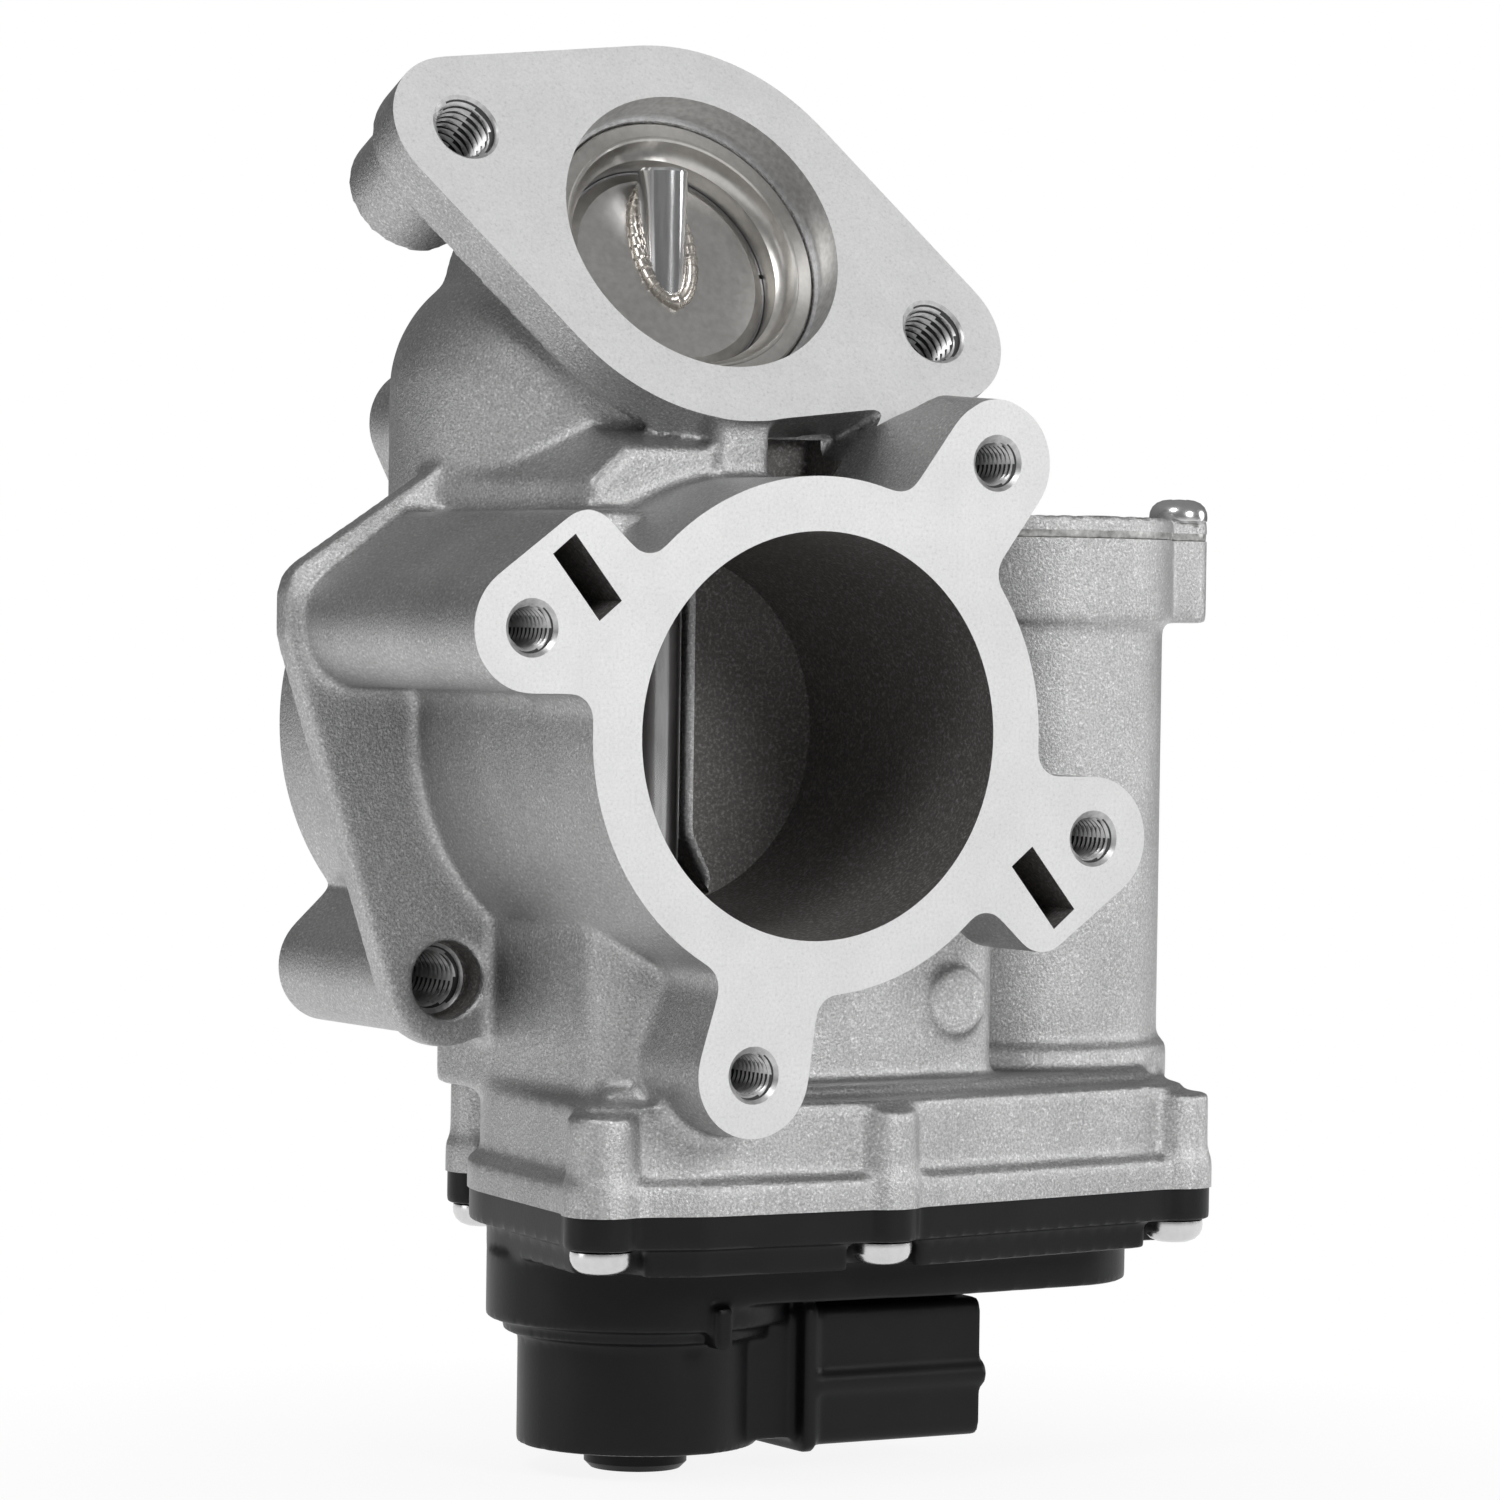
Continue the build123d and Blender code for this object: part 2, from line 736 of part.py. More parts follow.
def flap_profile():
    """Half section of the flap, with a rim that follows a ball so that it can swing in its seat."""
    half = flap_thickness / 2
    rim_top = half - flap_bevel * 0.6
    low = (sqrt(flap_r**2 - half**2), -half)
    high = (sqrt(flap_r**2 - rim_top**2), rim_top)
    front = (high[0] - flap_bevel, half)
    rim = ThreePointArc(low, (flap_r, 0), high)
    sides = Polyline(high, front, (0, half), (0, -half), low)
    return make_face([rim, sides])


def shaft_bore(radius):
    """Upright cylinder on the shaft's axis through the flap."""
    return along_z(disc(0, shaft_y, radius), flap_z - 3 * flap_r, flap_z + 3 * flap_r)


def flap_disc():
    """Round flap, grooved for its sealing ring and welded round the shaft on its front."""
    flap = revolve(Plane.XZ * flap_profile(), Axis.Z)
    groove = extrude(ring(flap_r + 1.0, flap_r - flap_groove_depth), flap_ring_width / 2, both=True)
    flap -= groove
    half = flap_thickness / 2
    centre_y = half / tan(tilt)
    bead = Ellipse(shaft_r + weld_reach, shaft_r / sin(tilt) + weld_reach)
    flap += extrude(Pos(0, centre_y, half) * bead, weld_rise, taper=35)
    return flap_plane * flap - shaft_bore(shaft_r + fit_gap)


def flap_sealing_ring():
    """Split ring that rides in the flap's groove and wipes the seat."""
    outer_r = seat_bore_r - flap_ring_gap
    inner_r = flap_r - flap_groove_depth + 2 * fit_gap
    band = extrude(ring(outer_r, inner_r), flap_ring_width / 2 - fit_gap, both=True)
    band -= Pos(outer_r, 0) * Box(2 * flap_groove_depth + 3.0, 0.6, 2 * flap_ring_width)
    return flap_plane * band


def valve_shaft():
    """Ground steel shaft with a stepped lower end for the sector."""
    shaft = along_z(disc(0, shaft_y, shaft_r), sector_high_z, shaft_top_z)
    shaft = chamfer(shaft.edges().sort_by(Axis.Z)[-1], 0.4)
    return shaft + along_z(disc(0, shaft_y, shaft_lower_r), drum_low_z + 2.0, sector_high_z)


def involute(angle):
    """Involute function of an angle in radians."""
    return tan(angle) - angle


def tooth_points(module, teeth, centre_angle):
    """One tooth's outline from root to root, in order of angle, with its centre at an angle in radians."""
    pitch_r = module * teeth / 2
    base_r = pitch_r * cos(radians(pressure_angle))
    root_r = pitch_r - module * tooth_root
    tip_r = pitch_r + module * tooth_tip
    half_pitch = pi / (2 * teeth) - gear_backlash / (2 * pitch_r) + involute(radians(pressure_angle))
    start_r = max(base_r, root_r)
    radii = [start_r + (tip_r - start_r) * share for share in (0, 0.5, 1)]
    flank = [(r, half_pitch - involute(acos(min(1, base_r / r)))) for r in radii]
    if root_r < start_r:
        flank.insert(0, (root_r, flank[0][1]))
    rising = [(r, centre_angle - a) for r, a in flank]
    falling = [(r, centre_angle + a) for r, a in reversed(flank)]
    return [(r * cos(a), r * sin(a)) for r, a in rising + falling]


def gear_face(module, teeth, turn=0.0):
    """Whole gear as a sketch, turned by an angle in degrees."""
    points = []
    for tooth in range(teeth):
        points += tooth_points(module, teeth, 2 * pi * tooth / teeth + radians(turn))
    return make_face(Polyline(points, close=True))


def sector_face():
    """Toothed sector on a round hub."""
    points = [(0, 0)]
    for tooth in range(sector_first_tooth, sector_last_tooth + 1):
        points += tooth_points(sector_module, sector_teeth, 2 * pi * tooth / sector_teeth)
    return make_face(Polyline(points, close=True)) + Circle(drum_r)


def sector_gear():
    """Moulded sector with a drum that carries the return spring and the sensor's magnet."""
    gear = along_z(Pos(0, shaft_y) * sector_face(), sector_low_z, sector_high_z)
    gear += along_z(disc(0, shaft_y, drum_r), drum_low_z, sector_low_z)
    gear += along_z(disc(0, shaft_y, shaft_r + 2.5), sector_high_z, gearbox_ceiling_z - 0.6)
    gear -= along_z(disc(0, shaft_y, shaft_lower_r + fit_gap), drum_low_z + 2.0 - fit_gap, sector_high_z)
    return gear - along_z(disc(0, shaft_y, shaft_r + fit_gap), sector_high_z - fit_gap, gearbox_ceiling_z)


def return_spring():
    """Torsion spring round the sector's drum."""
    height = spring_pitch * spring_turns
    low = sector_low_z - spring_wire_r - 0.2 - height
    coil = Helix(spring_pitch, height, spring_r)
    wire = sweep(Plane(origin=coil @ 0, z_dir=coil % 0) * Circle(spring_wire_r), path=coil)
    return Pos(0, shaft_y, low) * wire


def sensor_magnet():
    """Round magnet on the end of the drum."""
    return along_z(disc(0, shaft_y, magnet_r), magnet_low_z, magnet_high_z)


def sensor_board():
    """Round circuit board of the position sensor, held in the dome, with its chip."""
    radius = dome_r - cover_wall - 0.1
    board = along_z(disc(dome_x, shaft_y, radius), board_z, board_z + board_thickness)
    chip = Pos(0, shaft_y, board_z + board_thickness + 0.75) * Box(5.0, 6.0, 1.5)
    return board + chip


def intermediate_gear():
    """Double wheel, small teeth on the sector and large teeth on the motor's pinion."""
    place = Pos(wheel_x, gear_y)
    small = place * gear_face(sector_module, small_wheel_teeth, 180 / small_wheel_teeth)
    large = place * gear_face(drive_module, large_wheel_teeth)
    gear = along_z(small, wheel_high_z, sector_high_z) + along_z(large, wheel_low_z, wheel_high_z)
    gear += along_z(disc(wheel_x, gear_y, axle_r + 1.6), sector_high_z, gearbox_ceiling_z - 0.3)
    gear += along_z(disc(wheel_x, gear_y, axle_r + 2.5), cover_floor_z + 0.3, wheel_low_z)
    return gear - along_z(disc(wheel_x, gear_y, axle_r + shaft_clearance), cover_floor_z, gearbox_ceiling_z)


def intermediate_axle():
    """Steel pin pressed into the casting."""
    outline = disc(wheel_x, gear_y, axle_r - fit_gap)
    pin = along_z(outline, cover_floor_z + fit_gap, gearbox_ceiling_z + axle_seat)
    return chamfer(pin.edges().sort_by(Axis.Z)[-1], 0.3)


def motor_pinion():
    """Small brass gear on the motor's shaft."""
    face = Pos(motor_x, gear_y) * gear_face(drive_module, pinion_teeth, 180 / pinion_teeth)
    gear = along_z(face, wheel_low_z - 0.4, wheel_high_z + 0.4)
    bore = disc(motor_x, gear_y, motor_shaft_r + fit_gap)
    return gear - along_z(bore, wheel_low_z - 1.0, wheel_high_z + 1.0)


def motor_shaft():
    """Motor's shaft, from the pinion up to the bush in the can's closed end."""
    return along_z(disc(motor_x, gear_y, motor_shaft_r), wheel_low_z - 1.0, motor_can_top_z - motor_can_wall)


def motor_ring(outer_r, inner_r, low, high):
    """Round collar on the motor's axis."""
    return along_z(Pos(motor_x, gear_y) * ring(outer_r, inner_r), low, high)


def motor_can():
    """Drawn steel can, closed at the top."""
    can = motor_ring(motor_can_r, motor_can_r - motor_can_wall, end_cap_high_z, motor_can_top_z)
    end = disc(motor_x, gear_y, motor_can_r)
    return can + along_z(end, motor_can_top_z - motor_can_wall, motor_can_top_z)


def motor_magnets():
    """Two arc magnets inside the can."""
    outer_r = motor_can_r - motor_can_wall - fit_gap
    low = armature_low_z - 2.0
    high = armature_high_z + 2.0
    arcs = Pos(motor_x, gear_y) * (ring(outer_r, magnet_bore_r) - Rectangle(2 * outer_r, magnet_bore_r))
    return along_z(arcs, low, high)


def armature_core():
    """Slotted stack of the armature on its shaft."""
    sketch = Circle(armature_r) - Circle(motor_shaft_r + fit_gap)
    for slot in range(armature_slots):
        angle = 360 * slot / armature_slots
        sketch -= Rot(0, 0, angle) * Pos(armature_r, 0) * Rectangle(armature_r, 1.6)
    return along_z(Pos(motor_x, gear_y) * sketch, armature_low_z, armature_high_z)


def armature_windings():
    """Copper coils bunched at both ends of the stack."""
    coils = Part()
    for low, high in (
        (armature_low_z - winding_height, armature_low_z),
        (armature_high_z, armature_high_z + winding_height),
    ):
        coil = motor_ring(armature_r - 1.2, motor_shaft_r + fit_gap, low, high)
        coils += coil
    return coils


def commutator():
    """Segmented copper drum that the brushes run on."""
    sketch = ring(commutator_r, motor_shaft_r + fit_gap)
    for slot in range(armature_slots):
        angle = 360 * (slot + 0.5) / armature_slots
        sketch -= Rot(0, 0, angle) * Pos(commutator_r, 0) * Rectangle(1.0, 0.5)
    return along_z(Pos(motor_x, gear_y) * sketch, commutator_low_z, commutator_high_z)


def brush_boxes(grow):
    """Two upright boxes, one each side of the commutator."""
    length = 7.0
    centre = commutator_r + 0.1 + length / 2
    sketch = Sketch()
    for side in (1, -1):
        sketch += Pos(motor_x, gear_y + side * centre) * Rectangle(4.0 + 2 * grow, length)
    return sketch


def brush_holder():
    """Moulded end cap of the motor, with guides for the brushes and a seat for the lower bush."""
    cap = motor_ring(motor_can_r, bush_outer_r + fit_gap, motor_floor_z, end_cap_high_z)
    guides = brush_boxes(1.2) - brush_boxes(fit_gap)
    cap += along_z(guides, end_cap_high_z, commutator_high_z - 1.0)
    thickness, width = (size + 2 * fit_gap for size in (terminal_thickness, terminal_width))
    for x, y in terminal_places():
        cap -= Pos(x, y, motor_floor_z) * Box(thickness, width, 4 * end_cap_thickness)
    return cap


def carbon_brushes():
    """Two carbon blocks against the commutator."""
    return along_z(brush_boxes(0), end_cap_high_z + fit_gap, commutator_high_z - 2.0)


def motor_bushes():
    """Sintered bushes at both ends of the motor."""
    bore_r = motor_shaft_r + shaft_clearance
    low = motor_ring(bush_outer_r, bore_r, motor_floor_z, end_cap_high_z)
    top = motor_can_top_z - motor_can_wall
    high = motor_ring(bush_outer_r + 1.0, bore_r, top - 4.0, top)
    return Compound([low.solid(), high.solid()])


def terminal_places():
    """Centres of the two motor terminals."""
    return [(motor_x + terminal_reach, gear_y + side * terminal_reach / 2) for side in (1, -1)]


def motor_terminals():
    """Brass blades that bring the current up from the cover."""
    low = parting_z - 1.0
    high = end_cap_high_z + 1.0
    blade = Box(terminal_thickness, terminal_width, high - low)
    blades = [Pos(x, y, (low + high) / 2) * blade for x, y in terminal_places()]
    return Compound([blade.solid() for blade in blades])


def wave_spring():
    """Wave washer between the can and its cap, as a dished ring."""
    low = motor_can_top_z + fit_gap
    high = motor_top_z - fit_gap
    outer_r = motor_can_r - 2.0
    top_r = outer_r - 3.0
    wall = 1.0
    base = Plane((motor_x, gear_y, low))
    top = Plane((motor_x, gear_y, high))
    outside = loft([base * Circle(outer_r), top * Circle(top_r)])
    return outside - loft([base * Circle(outer_r - wall), top * Circle(top_r - wall)])


def cap_seal_sketch(gap):
    """Seal ring between the motor collar and its cap, seen from above."""
    middle_r = motor_bore_r + (motor_housing_wall + motor_collar_rise) / 2
    return Pos(motor_x, gear_y) * ring(middle_r + cap_seal_r + gap, middle_r - cap_seal_r - gap)


def cap_seal():
    """Rubber ring in the collar's groove."""
    return along_z(cap_seal_sketch(-fit_gap), motor_top_z - 2 * cap_seal_r, motor_top_z)


def motor_cap_plate():
    """Flat steel cap over the motor."""
    plate = along_z(cap_outline(-0.15), motor_top_z, motor_top_z + cap_thickness)
    for x, y in motor_lug_places():
        plate -= along_z(disc(x, y, m4_shank_r + 0.2), motor_top_z, motor_top_z + cap_thickness)
    return plate


def pan_screw(length):
    """Pan head screw that points down from its seat at the origin."""
    head = along_z(disc(0, 0, m4_head_r), 0, m4_head_height)
    head = fillet(head.edges().sort_by(Axis.Z)[-1], m4_head_height * 0.55)
    return head + along_z(disc(0, 0, m4_shank_r - fit_gap), -length, 0)


def cap_screws():
    """Two screws that hold the motor's cap."""
    screw = pan_screw(cap_thickness + 7.0)
    seat_z = motor_top_z + cap_thickness
    return Compound([(Pos(x, y, seat_z) * screw).solid() for x, y in motor_lug_places()])


def cover_screws():
    """Screws that hold the cover, driven from below."""
    screw = Rot(180, 0, 0) * pan_screw(cover_rim_thickness + gearbox_height - 6.0)
    return Compound([(Pos(x, y, rim_z) * screw).solid() for x, y in cover_screw_places])


def bulge_outline(inset):
    """Deep part of the cover round the drum, the double wheel and the pinion."""
    wheel_r = drive_module * large_wheel_teeth / 2 + drive_module
    return hull(
        (dome_x, shaft_y, dome_step_r - inset),
        (wheel_x, gear_y, wheel_r + 0.6 + cover_wall - inset),
        (bulge_end_x, bulge_end_y, bulge_end_r - inset),
    )


def connector_shell():
    """Rectangular plug housing with its mouth towards the motor end."""
    width = connector_y_high - connector_y_low
    height = connector_z_high - connector_z_low
    middle_y = (connector_y_high + connector_y_low) / 2
    middle_z = (connector_z_high + connector_z_low) / 2
    length = connector_x_end - connector_x_start
    start = Plane((connector_x_start, middle_y, middle_z), x_dir=(0, 1, 0), z_dir=(1, 0, 0))
    shell = extrude(start * RectangleRounded(width, height, 1.5), length)
    band = RectangleRounded(width + 2 * connector_band_rise, connector_band_width, 1.0)
    shell += extrude(start * Pos(0, connector_band_z - middle_z) * band, length + 0.6)
    flange = RectangleRounded(width + 2 * connector_flange_rise, height + 2 * connector_flange_rise, 1.5)
    shell += extrude(start.offset(-connector_flange_length) * flange, connector_flange_length)
    mouth = RectangleRounded(width - 2 * connector_wall, height - 2 * connector_wall, 1.0)
    room = extrude(start.offset(socket_back) * mouth, length)
    neck = start.offset(-connector_x_start + 4.0) * Rectangle(width - 4.0, height - 2.0)
    web_height = connector_z_high - cover_floor_z
    web_place = Pos(connector_x_start + length / 2, middle_y, (connector_z_high + cover_bulge_z) / 2 - 0.5)
    web = web_place * Box(length - 3.0, width - 8.0, abs(web_height))
    return shell + extrude(neck, connector_x_start) + web, room


def connector_pins():
    """Flat pins in the plug housing."""
    middle_y = (connector_y_high + connector_y_low) / 2
    middle_z = (connector_z_high + connector_z_low) / 2
    length = socket_back + 8.0
    pins = []
    for pin in range(connector_pin_count):
        y = middle_y + (pin - (connector_pin_count - 1) / 2) * connector_pin_pitch
        place = Pos(connector_x_start + 1.0 + length / 2, y, middle_z)
        pins.append((place * Box(length, 0.8, 1.5)).solid())
    return Compound(pins)


def gearbox_cover():
    """Black moulded cover with the stepped sensor dome and the plug housing."""
    cover = along_z(lip_outline(0.3), rim_z, parting_z)
    ledge = gearbox_outline(cover_ledge_inset) - screw_bosses(screw_pocket_r)
    cover += along_z(ledge, cover_ledge_z, rim_z)
    cover += along_z(bulge_outline(0), cover_bulge_z, cover_ledge_z)
    dome = Pos(dome_x, shaft_y)
    cover += along_z(dome * Circle(dome_step_r), dome_step_z, cover_bulge_z)
    cover += along_z(dome * Circle(dome_neck_r), dome_neck_z, dome_step_z)
    cover += along_z(dome * Circle(dome_r), dome_z, dome_neck_z)
    rib_low_z = dome_step_z - 2.0
    rib = Pos(dome_x + 1.0, shaft_y - dome_step_r) * Rectangle(2.4, 3.0)
    cover += along_z(rib, rib_low_z, cover_bulge_z)
    shell, socket = connector_shell()
    cover += shell
    cover -= along_z(gearbox_cavity(0), rim_z + cover_wall, parting_z)
    ledge_room = gearbox_outline(cover_ledge_inset + cover_wall) - screw_bosses(screw_pocket_r + cover_wall)
    cover -= along_z(ledge_room, cover_ledge_z + cover_wall, parting_z)
    cover -= along_z(bulge_outline(cover_wall), cover_floor_z, parting_z)
    cover -= along_z(dome * Circle(dome_step_r - cover_wall), dome_step_z + cover_wall, parting_z)
    cover -= along_z(dome * Circle(dome_r - cover_wall), dome_floor_z, parting_z)
    cover -= along_z(dome * Circle(plug_r - 1.2), dome_z, dome_floor_z)
    cover -= socket
    cover -= connector_pins()
    cover -= along_z(gasket_sketch(), parting_z - gasket_height, parting_z)
    for x, y in cover_screw_places:
        cover -= along_z(disc(x, y, m4_shank_r), rim_z, parting_z)
    return cover


def gasket_sketch():
    """Loop of the cover's gasket, outside the screws, seen from above."""
    return lip_outline(1.0) - lip_outline(1.0 + gasket_width)


def cover_gasket():
    """Rubber gasket in the cover's rim, pressed on the housing's lip."""
    return along_z(gasket_sketch(), parting_z - gasket_height, parting_z)


def dome_plug():
    """Round plug in the end of the sensor dome."""
    plug = along_z(disc(dome_x, shaft_y, plug_r), dome_z - plug_rise, dome_z)
    plug = chamfer(plug.edges().sort_by(Axis.Z)[0], 0.8)
    return plug + along_z(disc(dome_x, shaft_y, plug_r - 1.2 - fit_gap), dome_z, dome_floor_z)


def shaft_bush():
    """Bush that guides the shaft under the throat."""
    return shaft_ring(bush_r - fit_gap, shaft_r + shaft_clearance, seal_high_z, bush_high_z)


def shaft_seal():
    """Lip seal between the bush and the ball bearing."""
    return shaft_ring(seal_r - fit_gap, shaft_r + shaft_clearance, bearing_high_z, seal_high_z)


def race_gap():
    """Middle radius of the ball track and half of the room between the races."""
    middle_r = (bearing_r + shaft_r) / 2
    return middle_r, bearing_ball_r + fit_gap


def bearing_outer_race():
    """Outer race, pressed into the casting."""
    middle_r, half = race_gap()
    return shaft_ring(bearing_r - fit_gap, middle_r + half, bearing_low_z, bearing_high_z)


def bearing_inner_race():
    """Inner race on the shaft."""
    middle_r, half = race_gap()
    return shaft_ring(middle_r - half, shaft_r + fit_gap, bearing_low_z, bearing_high_z)


def bearing_ball_set():
    """Ring of balls between the races."""
    middle_r, _ = race_gap()
    middle_z = (bearing_low_z + bearing_high_z) / 2
    balls = []
    for ball in range(bearing_balls):
        x, y = on_circle(middle_r, 360 * ball / bearing_balls)
        balls.append((Pos(x, shaft_y + y, middle_z) * Sphere(bearing_ball_r)).solid())
    return Compound(balls)


parts = {
    "valve_body": valve_body,
    "seat_ring": seat_ring,
    "flap_disc": flap_disc,
    "flap_sealing_ring": flap_sealing_ring,
    "valve_shaft": valve_shaft,
    "shaft_bush": shaft_bush,
    "shaft_seal": shaft_seal,
    "bearing_outer_race": bearing_outer_race,
    "bearing_inner_race": bearing_inner_race,
    "bearing_balls": bearing_ball_set,
    "sector_gear": sector_gear,
    "return_spring": return_spring,
    "sensor_magnet": sensor_magnet,
    "sensor_board": sensor_board,
    "dome_plug": dome_plug,
    "intermediate_gear": intermediate_gear,
    "intermediate_axle": intermediate_axle,
    "motor_can": motor_can,
    "motor_magnets": motor_magnets,
    "armature_core": armature_core,
    "armature_windings": armature_windings,
    "commutator": commutator,
    "motor_shaft": motor_shaft,
    "motor_pinion": motor_pinion,
    "brush_holder": brush_holder,
    "carbon_brushes": carbon_brushes,
    "motor_bushes": motor_bushes,
    "motor_terminals": motor_terminals,
    "wave_spring": wave_spring,
    "cap_seal": cap_seal,
    "motor_cap_plate": motor_cap_plate,
    "cap_screws": cap_screws,
    "gearbox_cover": gearbox_cover,
    "cover_gasket": cover_gasket,
    "cover_screws": cover_screws,
    "connector_pins": connector_pins,
}

os.makedirs("parts", exist_ok=True)
for name, make in parts.items():
    export_step(make(), f"parts/{name}.step")
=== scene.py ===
"""Looks of the exhaust gas recirculation valve, in metres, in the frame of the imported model."""

import json
from math import acos, atan2, cos, pi, radians, sin, sqrt, tan

import bmesh
import bpy
from mathutils import Matrix, Vector


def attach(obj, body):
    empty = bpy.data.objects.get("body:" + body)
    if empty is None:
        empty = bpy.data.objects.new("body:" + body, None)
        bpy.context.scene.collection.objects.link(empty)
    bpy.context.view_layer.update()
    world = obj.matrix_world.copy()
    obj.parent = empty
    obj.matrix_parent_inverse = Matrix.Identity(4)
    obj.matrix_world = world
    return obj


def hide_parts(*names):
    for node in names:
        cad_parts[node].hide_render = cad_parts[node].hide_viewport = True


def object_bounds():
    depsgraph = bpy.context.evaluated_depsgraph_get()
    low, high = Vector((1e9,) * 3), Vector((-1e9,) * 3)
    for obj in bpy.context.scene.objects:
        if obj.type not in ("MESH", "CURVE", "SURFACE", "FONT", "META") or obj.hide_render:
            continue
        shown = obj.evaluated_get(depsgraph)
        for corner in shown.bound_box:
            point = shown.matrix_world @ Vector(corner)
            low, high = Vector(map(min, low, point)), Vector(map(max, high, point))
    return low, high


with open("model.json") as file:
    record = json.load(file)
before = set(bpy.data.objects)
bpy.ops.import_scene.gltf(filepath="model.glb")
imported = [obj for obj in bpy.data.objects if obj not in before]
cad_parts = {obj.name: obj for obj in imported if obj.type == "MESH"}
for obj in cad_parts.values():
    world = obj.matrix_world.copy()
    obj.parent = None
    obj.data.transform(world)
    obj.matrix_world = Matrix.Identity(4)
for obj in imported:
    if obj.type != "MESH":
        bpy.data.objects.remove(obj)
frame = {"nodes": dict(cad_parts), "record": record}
cad_low, cad_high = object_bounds()
nodes = frame["nodes"]
mm = 0.001

# Places shared with the model; X to the right, Y into the throat, Z up from the middle of the main port
shaft_y = 41.0 * mm
shaft_r = 3.2 * mm
flap_z = 58.0 * mm
flap_r = 14.2 * mm
flap_half = 1.6 * mm
flap_bevel = 1.5 * mm
flap_groove_r = 12.6 * mm
flap_groove_half = 0.62 * mm
shaft_bore_top_z = 90.0 * mm
port_tilt = radians(25.6)
port_face_depth = 11.75 * mm
port_bore_r = 19.3 * mm
port_normal = Vector((0, -cos(port_tilt), sin(port_tilt)))
port_up = Vector((0, sin(port_tilt), cos(port_tilt)))
flap_centre = Vector((0, shaft_y, flap_z))
port_centre = flap_centre + port_normal * port_face_depth
seat_outer_r = 18.6 * mm
seat_bore_r = 14.6 * mm
seat_step_depth = 5.4 * mm
seat_length = 14.0 * mm
port_bolts = ((-31.0 * mm, 13.1 * mm), (31.0 * mm, -13.1 * mm))
main_bore_r = 25.0 * mm
main_cavity_end_r = 22.8 * mm
main_cavity_depth = 40.5 * mm
main_hole_circle_r = 42.2 * mm
main_hole_angles = (162.3, 53.5, -17.7, -102.1)
main_hole_depth = 15.0 * mm
port_hole_depth = 14.0 * mm
main_bore_land = 6.0 * mm
shaft_passage_r = 4.3 * mm
window_r = 22.6 * mm
window_edge_x = shaft_passage_r
window_flare = 9.0 * mm
window_back_y = 62.0 * mm
hollow_centre = Vector((10.0, 26.0, 34.2)) * mm
hollow_size = Vector((11.6, 9.0, 5.6)) * mm
slot_size = (10.2 * mm, 3.9 * mm)
slot_depth = 12.0 * mm
slot_shift = Vector((7.4 * mm, 0, 6.1 * mm))
slot_angle = radians(-50.9)
rear_face_y = 80.0 * mm
rear_hole_depth = 16.0 * mm
rear_bolt_circle_r = 41.8 * mm
rear_bolt_angle = radians(-129.8)
rear_bolt_step = radians(120)
rear_counterbore_r = 4.9 * mm
rear_counterbore_depth = 4.7 * mm
rear_low_thread_length = 28.0 * mm
plate_y = 46.0 * mm
parting_z = -59.0 * mm
rim_z = -63.2 * mm
motor_x = 54.6 * mm
motor_top_z = 25.2 * mm
cap_thickness = 2.5 * mm
cap_screw_reach = 22.8 * mm
cap_screw_angle = radians(-15.0)
cap_screw_length = 9.5 * mm
cover_screw_length = 11.7 * mm
cover_screw_places = ((-22.5, 13.0), (15.5, 9.3), (65.0, 17.0), (65.0, 64.0), (22.0, 68.2), (-9.0, 69.5))
socket_low = Vector((22.0, 29.2, -89.4)) * mm
socket_high = Vector((46.0, 46.8, -75.8)) * mm
front = Vector((0, -1, 0))
back = Vector((0, 1, 0))
up = Vector((0, 0, 1))

# Threads as core radius, major radius and pitch
m6_thread = (2.5 * mm, 3.1 * mm, 1.0 * mm)
m8_thread = (3.4 * mm, 4.1 * mm, 1.25 * mm)
thread_sink_rise = 0.45 * mm

# Softening of each piece, as voxel size and rounds of smoothing
casting_softness = (0.6 * mm, 12)
cover_softness = (0.45 * mm, 6)
cap_softness = (0.3 * mm, 4)

# Cutters: how far they pass a face, how much wider they are than the bore, and the trimming blocks
cut_reach = 1.0 * mm
cut_margin = 0.06 * mm
trim_width = 0.4
trim_depth = 0.02
port_trim = (90 * mm, 54 * mm, 8 * mm)
motor_trim_r = 27 * mm
motor_top_reach = 30 * mm

# Floor, its fade into the backdrop, and the sky that lights and mirrors from below to above
floor_gap = 0.2 * mm
floor_half_width = 1.5
fade_start = 0.04
fade_end = 0.18
white_share_near = 0.8
sky_strength = 0.3
sky_low = (0.3, 0.3)
sky_high = (0.85, 0.95)

# Lamps as name, place, size in metres and power in watts
lamp_aim = Vector((0.01, 0.03, -0.005))
lamps = (
    ("key", (0.3, -1.0, 0.4), 0.4, 4.6),
    ("upper_left", (-0.65, -0.4, 0.9), 0.4, 4.4),
    ("left", (-1.0, 0.3, 0.0), 0.4, 0.8),
    ("right", (0.95, -0.2, 0.2), 0.4, 2.0),
)

# Camera
photo_size = 1500
focal_pixels = 5900
camera_turn = radians(30.5)
camera_pitch = radians(1.4)
camera_roll = radians(0.8)
camera_distance = 0.7205
origin_pixel_x = 820.8
origin_pixel_y = 736.3
sensor_width = 36.0


def link(obj):
    """Puts an object in the scene."""
    bpy.context.scene.collection.objects.link(obj)
    return obj


def mesh_object(name, mesh):
    """Object in the scene with this mesh."""
    return link(bpy.data.objects.new(name, mesh))


def solid(name, bm, place=Matrix()):
    """Object in the scene from an edited mesh, moved to its place."""
    mesh = bpy.data.meshes.new(name)
    bm.to_mesh(mesh)
    bm.free()
    mesh.transform(place)
    return mesh_object(name, mesh)


def applied(obj):
    """Applies an object's modifiers to its mesh."""
    graph = bpy.context.evaluated_depsgraph_get()
    mesh = bpy.data.meshes.new_from_object(obj.evaluated_get(graph))
    obj.modifiers.clear()
    obj.data = mesh
    return obj


